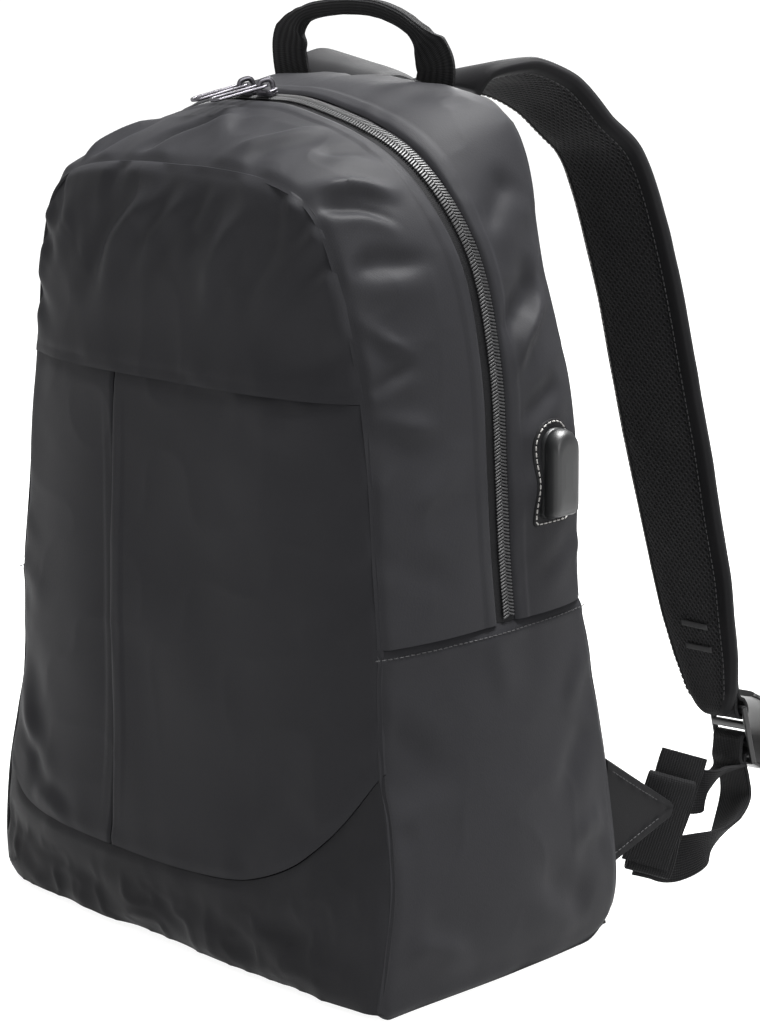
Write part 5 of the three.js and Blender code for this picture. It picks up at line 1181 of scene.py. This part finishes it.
def addSliderAndPull(side):
    s = slider
    corners = nodePoints(f"zipper_slider_{side}")
    centreX = (corners[:, 0].min() + corners[:, 0].max()) / 2
    row = np.abs(zipArch[:, 0] - centreX).argmin()
    origin, out = zipArch[row], zipOut[row]
    along = unit(np.array([1.0, 0, 0]) - out[0] * out)
    across = np.cross(out, along)
    plan = superEllipse(s["length"], s["width"], 3.2)
    plan[:, 1] *= 1 - (1 - s["waist"]) * np.exp(-(plan[:, 0] / 3.0) ** 2)
    levels = [(0.9, 0), (1.0, 0.3), (1.0, 1.0), (0.93, 1.15), (0.93, 1.9), (1.0, 2.1),
              (1.0, s["height"] - 0.4), (0.93, s["height"] - 0.1), (0.8, s["height"])]
    body = loft(plan, levels, origin + s["rest"] * out, along, across, out)
    turn = np.radians(s["turn"])
    level = -np.cos(turn) * along - np.sin(turn) * across
    half, rise = s["crownSpan"] / 2, s["crownRise"]
    arch = np.array([(-half, -0.6), (-half, rise * 0.45), (-half * 0.8, rise * 0.85), (-half * 0.4, rise),
                     (half * 0.4, rise), (half * 0.8, rise * 0.85), (half, rise * 0.45), (half, -0.6)])
    arch = smoothLine(arch, 5)
    base = origin + (s["rest"] + s["height"]) * out
    line = base + arch[:, :1] * level + arch[:, 1:] * out
    crown = bar(line, np.cross(level, out), superEllipse(2.8, s["crownWire"], 2.6, 12))
    shape = joinParts(body, crown)
    addShape(f"slider_metal_{side}", shape, gunmetal, "bag", "zip_metal", f"zipper_slider_{side}")

    p = pull
    tab = nodePoints(f"zipper_pull_{side}")
    flat = unit(np.linalg.svd(tab - tab.mean(0), full_matrices=False)[2])
    long, wide, thin = flat
    if np.dot(long, level) < 0:
        long = -long
    reach = (tab - tab.mean(0)) @ long
    hinge = tab.mean(0) + long * (reach.min() + 0.9)
    wide = unit(np.cross(long, thin))
    w, r = p["width"] / 2 - p["rim"] / 2, p["corner"]
    end = p["length"] - p["rim"] / 2 - w
    angle = np.linspace(0, np.pi, 26)
    corner = np.linspace(0, np.pi / 2, 6)
    outline = np.concatenate([
        np.stack([end + w * np.sin(angle), -w * np.cos(angle)], axis=-1),
        np.stack([r - r * np.sin(corner), w - r + r * np.cos(corner)], axis=-1),
        np.stack([r - r * np.cos(corner), -w + r - r * np.sin(corner)], axis=-1)])
    spread = alongLine(np.concatenate([outline, outline[:1]]), np.linspace(0, 1, 121)[:-1])
    waist = 1 - 0.14 * np.exp(-((spread[:, 0] - 9) / 6) ** 2)
    line = hinge + spread[:, :1] * long + (spread[:, 1] * waist)[:, None] * wide
    wire = ring(line, thin, superEllipse(p["rim"], p["thickness"], 2.8, 14))
    addShape(f"pull_metal_{side}", wire, gunmetal, f"pull_{side}", "zip_metal", f"zipper_pull_{side}")


for word in ("right", "left"):
    addSliderAndPull(word)

# Webbing. Grab handle: flat feet that roll into a round grip.
handle = {"reach": 55, "rise": 45, "width": 27, "thickness": 2.4, "gripWidth": 10.5, "gripThickness": 8.0}
# Columns: shares of the reach and the rise, and how far the webbing is rolled up.
handleTable = np.array([
    (-1, -0.02, 0), (-1.05, 0.2, 0.0), (-1.06, 0.38, 0.0), (-1.02, 0.52, 0.08), (-0.95, 0.66, 0.62),
    (-0.8, 0.775, 1), (-0.58, 0.84, 1), (-0.2, 0.88, 1), (0.2, 0.865, 1), (0.5, 0.78, 1), (0.72, 0.66, 1),
    (0.86, 0.52, 0.7), (0.95, 0.38, 0.12), (1.02, 0.24, 0.0), (1.03, 0.12, 0.0), (1.0, -0.02, 0)])


def addHandle(s):
    corners = nodePoints("grab_handle")
    foot = corners[:, 2].min()
    deep = (corners[:, 1].min() + corners[:, 1].max()) / 2
    line = smoothLine(np.stack([handleTable[:, 0] * s["reach"], handleTable[:, 1] * s["rise"],
                                handleTable[:, 2]],
                               axis=-1), 14)
    roll = np.clip(line[:, 2], 0, 1)
    path = np.stack([line[:, 0], np.full(len(line), deep), foot + line[:, 1]], axis=-1)
    way = unit(np.gradient(path, axis=0))
    across = np.cross(way, [0, 1, 0])
    section = roundedSection(2, 2, 0.35, 5)
    around = np.arctan2(section[:, 1], section[:, 0])
    flatOne = section * np.array([s["width"], s["thickness"]]) / 2
    rolled = np.stack([np.cos(around) * s["gripWidth"], np.sin(around) * s["gripThickness"]], axis=-1) / 2
    # The two edges of the webbing meet in a groove at the back of the grip.
    rolled *= (1 - 0.16 * np.exp(-((np.abs(around) - np.pi / 2) / 0.18) ** 2) * (around > 0))[:, None]
    sections = blend(flatOne[None], rolled[None], roll[:, None, None])
    crease = noiseGrid(lengthsOf(path)[:, None] / 5, around[None] * 1.4, 121)
    sections = sections * (1 + 0.07 * crease * (4 * roll * (1 - roll) + 0.25)[:, None])[..., None]
    shape = sweepMesh((path, across, np.tile([0, 1.0, 0], (len(path), 1))), sections)
    addShape("handle_webbing", shape, tapeWebbing, "bag", "webbing", "grab_handle")


addHandle(handle)

# Shoulder straps. Columns: place as shares of half width, half depth and height, lean and turn in degrees,
# then shares of the strap's width and thickness.
strap = {"width": 66, "thickness": 10, "edge": 1.7, "border": 8.0, "innerBorder": 4.0, "cover": 0.9,
         "mesh": 1.2, "stations": 12, "tack": (3.4, 0.55), "tacksAt": (0.875, 0.905), "tackStep": 1.1,
         "tackHalf": 11, "tackAside": 4, "tuck": 0.8, "dome": 1.0, "sag": 0.45, "crumple": 0.5}
# Stitches: pitch, length and radius.
stitchSizes = {"strap": (3.4, 2.4, 0.35), "tab": (3.2, 2.3, 0.3), "outlet": (3.3, 2.4, 0.42),
               "side": (3.4, 2.5, 0.32)}
strapTable = np.array([
    (0.25, 0.68, 0.98, 0, 0, 1, 0.9), (0.252, 0.78, 0.983, 1, -1, 1, 1), (0.285, 0.92, 1, 8, -8, 1, 1),
    (0.34, 1.22, 1, 14, -12, 1, 1), (0.395, 1.46, 0.978, 14, -13, 1, 1), (0.444, 1.64, 0.938, 8, -11, 1, 1),
    (0.482, 1.776, 0.906, 4, -6, 1, 1), (0.52, 1.845, 0.857, 0, -4, 1, 1), (0.568, 1.9, 0.779, 0, -4, 1, 1),
    (0.6, 1.94, 0.715, 0, -5, 1, 1), (0.623, 1.972, 0.657, 1, -5, 1, 1), (0.66, 2.04, 0.556, 1, -5, 1, 1),
    (0.69, 2.1, 0.468, 2, -8, 1, 1), (0.72, 2.157, 0.387, 4, -10, 1, 1),
    (0.742, 2.186, 0.329, 4, -12, 0.95, 1), (0.765, 2.214, 0.28, 6, -13, 0.84, 1),
    (0.785, 2.235, 0.238, 8, -14, 0.66, 1), (0.797, 2.25, 0.205, 8, -14, 0.34, 0.8)])


def strapFrames(table, perSpan):
    size = np.array([bag["halfBase"], bag["halfDepth"], bag["height"]])
    places = table[:, :3] * size
    places[0, 1] = nodePoints("shoulder_strap_right")[:, 1].min() + 1
    line = smoothLine(places, perSpan)
    at = np.linspace(0, len(table) - 1, len(line))
    lean, turn, width, thick = (np.interp(at, np.arange(len(table)), table[:, k]) for k in (3, 4, 5, 6))
    lean, turn = np.radians(lean), np.radians(turn)
    across = np.stack([np.cos(turn) * np.cos(lean), np.sin(turn) * np.cos(lean), np.sin(lean)], axis=-1)
    way = unit(np.gradient(line, axis=0))
    return line, across, unit(np.cross(across, way)), width, thick


def strapHeight(u, half, s):
    # Half the strap's thickness across its width: even in the middle, thin at its bound edges.
    full = s["thickness"] / 2
    return s["edge"] + (full - s["edge"]) * np.sqrt(np.clip(1 - (np.abs(u) / half) ** 5, 0, 1))


def addStrap(sign, word, s):
    line, across, normal, width, thick = strapFrames(strapTable, s["stations"])
    length = lengthsOf(line)
    endFade = np.sqrt(np.clip(1 - ((length - (length[-1] - 7)) / 7.5).clip(0, 1) ** 2, 0.02, 1))
    half = (s["width"] / 2 * width * blend(0.75, 1, endFade))[:, None]
    ratio = (thick * endFade)[:, None]
    flip = np.array([sign, 1, 1])

    def place(u, w):
        grid = line[:, None] + across[:, None] * u[..., None] + normal[:, None] * w[..., None]
        return grid * flip

    narrow = np.clip(half / (s["width"] / 2), 0.4, 1)
    outerBorder, innerBorder = half - s["border"] * narrow, -half + s["innerBorder"] * narrow
    # Cover: from the outer border round the outer edge, over the back face and round the inner edge.
    t = np.linspace(0, 1, 14)[None, :]
    backU = np.linspace(1, -1, 40)[None, :] * (half - 0.4)
    turnA = np.linspace(-np.pi / 2, np.pi / 2, 9)[None, 1:-1]
    u = np.concatenate([blend(outerBorder, half - 0.4, t), half - 0.4 + 0.9 * np.cos(turnA), backU,
                        -(half - 0.4) - 0.9 * np.cos(turnA), blend(-(half - 0.4), innerBorder, t)], axis=1)
    h = strapHeight(u, half, s) * ratio
    edgeH = s["edge"] * ratio * np.sin(turnA)
    w = np.concatenate([-h[:, :14], edgeH, h[:, 21:61], -edgeH, -h[:, 68:]], axis=1)
    fold = s["crumple"] * noiseGrid(length[:, None] / 13, u / 16, 133)
    atRoot = step(60, 5, length)[:, None]
    w = w + np.where(w > 0, fold * (0.5 + 2.2 * atRoot), 0.25 * fold)
    outer = place(u, w)
    inner = place(u * 0.985, w * (1 - s["cover"] / (s["thickness"] / 2)))
    cover = addShape(f"strap_cover_{word}", sheetMesh(outer, inner), trimCloth, "bag", "strap_cloth",
                     f"shoulder_strap_{word}")
    # Mesh face: slightly domed between the two borders, its edges tucked under them.
    v = np.linspace(0, 1, 44)[None, :]
    u = blend(innerBorder - s["tuck"], outerBorder + s["tuck"], v)
    dome = s["dome"] * (1 - np.abs(2 * v - 1) ** 4)
    sag = s["sag"] * noiseGrid(length[:, None] / 17, u / 20, 135)
    w = -(strapHeight(u, half, s) + dome - 0.7 + sag * dome) * ratio
    shape = sheetMesh(place(u, w), place(u, w + s["mesh"] * ratio))
    face = addShape(f"strap_mesh_{word}", shape, spacerMesh, "bag", "spacer_mesh")
    # Binding stitches beside the mesh, and two bar tacks near the tip.
    for name, border, inset in ((f"strap_stitches_outer_{word}", outerBorder, 1.4),
                                (f"strap_stitches_inner_{word}", innerBorder, -1.4)):
        u = border + inset
        w = -(strapHeight(u, half, s) + 0.15) * ratio
        seam = place(u, w)[:, 0]
        thread = darkThread if inset > 0 else paleThread
        addStitches(name, seam, -normal * flip, stitchSizes["strap"], thread, "strap_cloth", (0.02, 0.97))
    tackPlaces, tackAcross, tackOut = [], [], []
    for share in s["tacksAt"]:
        row = np.abs(length / length[-1] - share).argmin()
        tackU = np.arange(-s["tackHalf"], s["tackHalf"] + 1, s["tackStep"]) + s["tackAside"]
        w = -(strapHeight(tackU[None], half[row:row + 1], s) + 1.0)[0]
        tackPlaces.append((line[row] + across[row] * tackU[:, None] + normal[row] * w[:, None]) * flip)
        tackAcross.append(np.tile(unit(line[row + 1] - line[row]) * flip, (len(tackU), 1)))
        tackOut.append(np.tile(-normal[row] * flip, (len(tackU), 1)))
    ways, outs = np.concatenate(tackAcross), np.concatenate(tackOut)
    addCopies(f"strap_tacks_{word}", capsule(*s["tack"]), np.concatenate(tackPlaces), ways,
              np.cross(outs, ways), outs, darkThread, "bag", "strap_cloth")


def addStitches(name, line, out, size, finish, slotName, span=(0, 1)):
    # Short rounded stitches along a line of places with the surface's directions.
    pitch, length, radius = size
    total = lengthsOf(line)
    at = np.arange(span[0] * total[-1] + pitch / 2, span[1] * total[-1], pitch)
    way = unit(np.gradient(line, axis=0))
    places, ways, outs = (np.stack([np.interp(at, total, part[:, k]) for k in range(3)], axis=-1)
                          for part in (line, way, np.broadcast_to(out, line.shape)))
    ways = unit(ways)
    outs = unit(outs - np.sum(outs * ways, axis=-1, keepdims=True) * ways)
    return addCopies(name, capsule(length, radius, 6, 3), places, ways, np.cross(outs, ways), outs, finish,
                     "bag", slotName)


for sign, word in hands:
    addStrap(sign, word, strap)
print("hardware, handle and straps ready")

# Ladder buckle at the strap's tip: rails and bars round three slots, and a finger bow
buckle = {"width": 34.0, "length": 34.0, "thickness": 3.5, "overlap": 4.0, "lift": 7.3, "bowRise": 23.0,
          "bowThickness": 3.0}
tape = {"width": 27.0, "thickness": 2.2, "corner": 0.8, "spacing": 2.7, "perSpan": 12}
# Cross bars of the plate: where each starts and ends down the plate.
barRows = np.array([(0, 4.4), (9.4, 13.9), (19.4, 23.8), (30.3, 34.0)])
# Bow seen from the side: shares of its rise and of the plate's length.
bowTable = np.array([(0.0, 0.97), (0.35, 1.12), (0.65, 1.06), (0.88, 0.92), (1.0, 0.7), (1.01, 0.47),
                     (0.92, 0.24), (0.74, 0.04), (0.52, -0.1)])
# Webbing round the upper bar and round the lock bar: places down the plate and out of it.
loopTable = [(0, -1.7), (2.4, -1.8), (5.6, -0.9), (6.9, 1.75), (5.6, 4.5), (3, 5.35), (0, 5.3), (-2.6, 4.4)]
lockTable = [(35, -4.9), (29, -4.6), (25, -3.3), (21, -2), (18.2, -1.1), (16.7, 1.75), (18.2, 4.6), (21, 5.4),
             (24.2, 5.2), (26.6, 3.8), (27.6, 1.4), (29.2, -1), (32, -1.9), (36, -1.95), (42, -1.8)]
# Free runs of the strand: place as shares of half width, half depth and height, lean and turn in degrees.
loadTable = [(0.88, 1.99, 0.1265, 66, 20), (0.852, 2.134, 0.132, 36, -6)]
freeTable = [(0.852, 2.335, 0.1, 12, -10), (0.88, 2.18, 0.071, 34, -4), (0.895, 2.0, 0.055, 60, 10)]
# The strand's ends behind the tail: shares of the webbing's width and thickness, and shares down the tail.
behindTable = [(-0.25, 1.13), (0.15, 1.4), (0.58, 3.4)]
behindEnds = {"load": 0.29, "free": 0.87}
tail = {"place": (140.94, 161.01, 81.9), "across": (0.55, 0.77, -0.32), "down": (-0.1, -0.25, -0.96),
        "length": 70.0, "shift": 5.0, "spacing": 3.3}
# Folded tail: share down it, bend and layer in layer spacings, and sideways shift.
tailTable = np.array([
    (0, 0, 0, 0), (0.5, 0, 0, 0), (1, -1.5, 0, -0.1), (1, -0.5, 0, -0.1), (1, -0.15, 0.15, -0.1),
    (1, 0, 0.5, -0.1), (1, -0.15, 0.85, -0.1), (1, -0.5, 1, -0.1), (1, -1.5, 1, -0.1), (0.6, 0, 1, -0.5),
    (0.2, 2.6, 1, -0.9), (0.2, 0.6, 1, -0.9), (0.2, 0.18, 1.18, -0.9), (0.2, 0, 1.6, -0.9),
    (0.2, 0.18, 2.02, -0.9), (0.2, 0.6, 2.2, -0.9), (0.2, 2.6, 2.2, -0.9), (0.93, 0, 2, -1)])


def frameOf(place, across, down):
    wide = unit(np.asarray(across, float))
    down = np.asarray(down, float)
    long = unit(down - np.dot(down, wide) * wide)
    return {"place": np.asarray(place, float), "wide": wide, "long": long, "normal": np.cross(wide, long)}


def inFrame(f, wide, long, out):
    return f["place"] + wide * f["wide"] + long * f["long"] + out * f["normal"]


def plateFrame():
    line, across, normal = strapFrames(strapTable, strap["stations"])[:3]
    f = frameOf(line[-1], across[-1], -np.cross(across[-1], normal[-1]))
    f["place"] = inFrame(f, 0, -buckle["overlap"], buckle["lift"])
    return f


plate = plateFrame()
tailFrame = frameOf(tail["place"], tail["across"], tail["down"])


def addTape(name, sign, places, ways, *nodes):
    # Webbing along a smooth line through places, each with the direction that its width takes there.
    places, ways = np.array(places, float), np.array(ways, float)
    line = smoothLine(places, tape["perSpan"], centripetal=True)
    at = np.linspace(0, len(places) - 1, len(line))
    way = unit(np.gradient(line, axis=0))
    across = np.stack([np.interp(at, np.arange(len(ways)), ways[:, k]) for k in range(3)], axis=-1)
    across = unit(across - np.sum(across * way, axis=-1, keepdims=True) * way)
    flip = np.array([sign, 1, 1])
    section = roundedSection(tape["width"], tape["thickness"], tape["corner"], 4)
    # The edges of the tape wave a little along its length.
    wave = 0.2 * np.sin(lengthsOf(line) / 4.1)[:, None] * np.sign(section[:, 0])[None]
    sections = np.stack([np.broadcast_to(section[:, 0], wave.shape) + wave,
                         np.broadcast_to(section[:, 1], wave.shape)], axis=-1)
    shape = sweepMesh((line * flip, across * flip, np.cross(across, way) * flip), sections)
    addShape(name, shape, tapeWebbing, "bag", "webbing", *nodes)


def addBuckle(sign, word):
    b = buckle
    flip = np.array([sign, 1, 1])
    parts = []
    middle = b["thickness"] / 2
    for low, high in barRows:
        ends = np.linspace(-b["width"] / 2 + 1.2, b["width"] / 2 - 1.2, 8)
        line = np.stack([inFrame(plate, u, (low + high) / 2, middle) for u in ends])
        parts.append(bar(line, plate["normal"], roundedSection(high - low, b["thickness"], 1.2, 4)))
    for hand in (-1, 1):
        downs = np.linspace(1.0, b["length"] - 0.5, 10)
        line = np.stack([inFrame(plate, hand * (b["width"] / 2 - 1.4), u, middle) for u in downs])
        parts.append(bar(line, plate["normal"], roundedSection(2.8, b["thickness"] - 0.1, 1.1, 4)))
    side = smoothLine(bowTable, 8) * np.array([b["bowRise"], b["length"]])
    line = np.stack([inFrame(plate, 0, down, out + 1.0) for out, down in side])
    share = np.linspace(0, 1, len(line))
    # The bow narrows towards its free end, which is thickened and rounded.
    widths = b["width"] * (1 - 0.2 * step(0.25, 0.9, share)) * np.sqrt(1 - 0.3 * step(0.93, 1.0, share))
    section = roundedSection(1, 1, 0.3, 5)
    sections = section[None] * np.stack([widths, b["bowThickness"] * (1 + 0.25 * step(0.9, 1, share))],
                                        axis=-1)[:, None]
    way = unit(np.gradient(line, axis=0))
    frames = (line, np.tile(plate["wide"], (len(line), 1)), np.cross(plate["wide"], way))
    parts.append(outward(sweepMesh(frames, sections)))
    points, quads, uv, triangles = joinParts(*parts)
    if sign < 0:
        quads, triangles = quads[:, ::-1], triangles[:, ::-1]
    piece = addMesh(f"buckle_{word}", points * flip, quads, blackAcetal, uv, triangles)
    own(piece, "bag", "buckle_plastic", f"ladder_buckle_{word}")


def onStrapBack(station, layer):
    line, across, normal, width, thick = strapFrames(strapTable, strap["stations"])
    row = station * (len(line) - 1) // 27
    out = strap["thickness"] / 2 * thick[row] + (layer + 0.5) * tape["spacing"] + 0.15
    return line[row] + out * normal[row], across[row]


def strandPlace(row):
    wide, deep, high, lean, turn = row
    lean, turn = np.radians(lean), np.radians(turn)
    way = (np.cos(turn) * np.cos(lean), np.sin(turn) * np.cos(lean), np.sin(lean))
    return np.array([wide * bag["halfBase"], deep * bag["halfDepth"], high * bag["height"]]), way


def addWebbing(sign, word):
    onPlate = [(inFrame(plate, 0, down, out), plate["wide"]) for down, out in loopTable]
    rows = [onStrapBack(25, 0), onStrapBack(26, 0), *onPlate, onStrapBack(26, 1), onStrapBack(25, 1)]
    addTape(f"buckle_loop_webbing_{word}", sign, [r[0] for r in rows], [r[1] for r in rows],
            f"buckle_loop_{word}")

    def behind(end):
        return [(inFrame(tailFrame, wide * 27, behindEnds[end] * tail["length"], out * 2.4),
                 -tailFrame["long"])
                for wide, out in behindTable]

    rows = [*behind("load"), *(strandPlace(row) for row in loadTable),
            *((inFrame(plate, 0, down, out), plate["wide"]) for down, out in lockTable),
            *(strandPlace(row) for row in freeTable), *behind("free")[::-1]]
    addTape(f"adjuster_tape_{word}", sign, [r[0] for r in rows], [r[1] for r in rows],
            f"adjuster_webbing_{word}")
    places = [inFrame(tailFrame, shift * tail["shift"], long * tail["length"] + bend * tail["spacing"],
                      -layer * tail["spacing"]) for long, bend, layer, shift in tailTable]
    addTape(f"tail_tape_{word}", sign, places, [tailFrame["wide"]] * len(places), f"webbing_tail_{word}")


# Tab: doubled cloth in the plane of the side, hemmed along its two free edges
tab = {"low": 35.0, "high": 96.9, "hem": 6.5, "thickness": 2.2, "hemRise": 0.55, "pucker": 0.22,
       "puckerPitch": 1.6, "behind": 112, "rim": 0.8}
tipTable = np.array([(141.4, 51.0), (143.2, 54.6), (143.2, 57.8), (140.5, 61.0)])


def addTab(sign, word, s):
    corners = nodePoints(f"strap_tab_{word}")
    side = np.abs(corners[:, 0]).min() / 2 + np.abs(corners[:, 0]).max() / 2
    foot = corners[corners[:, 1] < s["behind"]]
    foot = foot[np.argsort(foot[:, 2])]
    t = np.linspace(0, 1, 50)
    footLine = np.stack([np.interp(blend(s["low"], s["high"], t), foot[:, 2], foot[:, 1]),
                         blend(s["low"], s["high"], t)],
                        axis=-1)
    tipLine = alongLine(tipTable, t)
    grid = footLine[None] + np.linspace(0, 1, 40)[:, None, None] * (tipLine - footLine)[None]
    away = np.minimum(np.linalg.norm(grid - grid[:, :1], axis=-1),
                      np.linalg.norm(grid - grid[:, -1:], axis=-1))
    ridge = s["hemRise"] * (1 - step(s["hem"] - 0.8, s["hem"] + 0.6, away))
    rim = np.sqrt(np.clip(away / s["rim"], 0.05, 1))
    pucker = s["pucker"] * np.sin(grid[..., 0] / s["puckerPitch"]) * np.exp(-((away - s["hem"]) / 2) ** 2)
    half = (s["thickness"] / 2 + ridge + pucker) * rim
    flip = np.array([sign, 1, 1])
    outer = np.stack([side + half, grid[..., 0], grid[..., 1]], axis=-1) * flip
    inner = np.stack([side - half, grid[..., 0], grid[..., 1]], axis=-1) * flip
    addShape(f"tab_cloth_{word}", sheetMesh(outer, inner), trimCloth, "bag", "body_cloth",
             f"strap_tab_{word}")
    middle = grid[:, 25]
    for edgeName, edge in (("low", grid[:, 0]), ("high", grid[:, -1])):
        seam = edge + unit(middle - edge) * (s["hem"] - 1)
        line = np.stack([np.full(len(seam), side + s["thickness"] / 2 + s["hemRise"] + 0.1), seam[:, 0],
                         seam[:, 1]],
                        axis=-1)[2:-5] * flip
        addStitches(f"tab_stitches_{edgeName}_{word}", line, np.array([sign, 0, 0.0]), stitchSizes["tab"],
                    darkThread, "body_cloth", (0.02, 0.9))


for sign, word in hands:
    addBuckle(sign, word)
    addWebbing(sign, word)
    addTab(sign, word, tab)

# Outlet: an arched rubber pad with a pale stitched flange on the rear gusset
outlet = {"height": 46.0, "width": 19.0, "depth": 11.0, "flange": 4.6, "stitchIn": 1.5,
          "flangeThickness": 0.7, "foot": 2.5, "points": 72, "nearby": 45, "nearDepth": 25, "blur": 1.8,
          "clearance": 1.1}


def archOutline(half, tall, count):
    # Flat foot, straight sides and a round top, evenly spaced all round, starting at the middle of the foot.
    turn = np.linspace(0, np.pi, 40)
    r = outlet["foot"]
    corner = np.linspace(0, np.pi / 2, 6)
    right = np.stack([half - r + r * np.sin(corner), -tall + r - r * np.cos(corner)], axis=-1)
    top = np.stack([half * np.cos(turn), tall - half + half * np.sin(turn)], axis=-1)
    left = right[::-1] * np.array([-1, 1])
    line = np.concatenate([[[0, -tall]], right, top, left, [[0, -tall]]])
    return alongLine(line, np.linspace(0, 1, count + 1))[:-1]


def addOutlet(s):
    corners = nodePoints("usb_port")
    centre = (corners.min(0) + corners.max(0)) / 2
    ways = np.linalg.svd(corners - corners.mean(0), full_matrices=False)[2]
    up = ways[np.abs(ways[:, 2]).argmax()]
    up = up * np.sign(up[2])
    out = ways[np.abs(ways[:, 0]).argmax()]
    out = unit((out - np.dot(out, up) * up) * np.sign(out[0]))
    wide = np.cross(up, out)
    local = (corners - centre) @ np.stack([wide, up, out], axis=1)
    inPlane = (local.min(0) + local.max(0)) / 2
    base = centre + wide * inPlane[0] + up * inPlane[1]
    base = base + out * local[:, 2].min()
    half, tall = s["width"] / 2, s["height"] / 2
    plan = archOutline(half, tall, s["points"])
    levels = [(1.0, -0.5), (1.0, 1.8), (0.985, 2.2), (0.985, 2.6), (1.0, 3.0), (1.0, 0.5 * s["depth"]),
              (0.965, 0.72 * s["depth"]), (0.9, 0.9 * s["depth"]), (0.8, 0.985 * s["depth"]),
              (0.6, s["depth"]), (0.3, s["depth"] + 0.15)]
    addShape("outlet_cover", loft(plan, levels, base, wide, up, out), portRubber, "bag", "port_rubber",
             "usb_port")
    # The flange lies on the gusset: its height at each place is that of the nearest gusset places.
    flat = (placesOf(bpy.data.objects["rear_gusset_cloth"].data) - base) @ np.stack([wide, up, out], axis=1)
    flat = flat[(np.linalg.norm(flat[:, :2], axis=1) < s["nearby"]) & (np.abs(flat[:, 2]) < s["nearDepth"])]

    def heightAt(spots):
        gaps = np.linalg.norm(spots[..., None, :] - flat[:, :2], axis=-1)
        weight = np.exp(-(gaps / s["blur"]) ** 2) + 1e-9
        high = np.sum(weight * flat[:, 2], axis=-1) / np.sum(weight, axis=-1)
        return high + s["clearance"]

    grown = (-0.6, 0.8, 2.2, 3.6, 4.3, s["flange"])
    rings = np.stack([archOutline(half + grow, tall + grow, s["points"]) for grow in grown])
    rings = np.concatenate([rings, rings[:, :1]], axis=1)
    rise = heightAt(rings) + np.array([0.2, 0.5, 0.5, 0.5, 0.3, -0.5])[:, None]
    outer = base + rings[..., :1] * wide + rings[..., 1:] * up + rise[..., None] * out
    shape = sheetMesh(outer, outer - s["flangeThickness"] * out)
    addShape("outlet_flange", shape, trimCloth, "bag", "body_cloth")
    spots = archOutline(half + s["flange"] - s["stitchIn"], tall + s["flange"] - s["stitchIn"], 200)
    spots = np.concatenate([spots, spots[:1]])
    line = base + spots[:, :1] * wide + spots[:, 1:] * up + (heightAt(spots) + 0.62)[:, None] * out
    addStitches("outlet_stitches", line, out, stitchSizes["outlet"], paleThread, "body_cloth")


addOutlet(outlet)
print("buckles, webbing, tabs and outlet ready")

# Topstitching on the sides, below the seam that closes each one at its top
topstitch = {"below": 4.5, "ends": 4, "count": 90, "reach": 3, "flatTop": 3, "nearest": 6, "smooth": 7,
             "proud": 0.1}


def addSideStitches(sign, word, s):
    # The row stops where the side's top edge falls away by more than flatTop.
    places = placesOf(bpy.data.objects[f"side_cloth_{word}"].data)
    places = places[:len(places) // 2]
    seam = []
    for deep in np.linspace(places[:, 1].min() + s["ends"], places[:, 1].max() - s["ends"], s["count"]):
        near = places[np.abs(places[:, 1] - deep) < s["reach"]]
        top = near[:, 2].max()
        if top >= places[:, 2].max() - s["flatTop"]:
            height = top - s["below"]
            pick = near[np.abs(near[:, 2] - height).argsort()[:s["nearest"]]]
            seam.append((np.abs(pick[:, 0]).max() * sign, deep, height))
    seam = np.array(seam)
    kernel = np.ones(s["smooth"]) / s["smooth"]
    cut = s["smooth"] // 2
    seam[cut:-cut] = np.stack([np.convolve(seam[:, k], kernel, "valid") for k in range(3)], axis=-1)
    addStitches(f"side_stitches_{word}", seam + np.array([s["proud"] * sign, 0, 0]), np.array([sign, 0, 0.0]),
                stitchSizes["side"], darkThread, "body_cloth")


for sign, word in hands:
    addSideStitches(sign, word, topstitch)
print("side stitches ready")
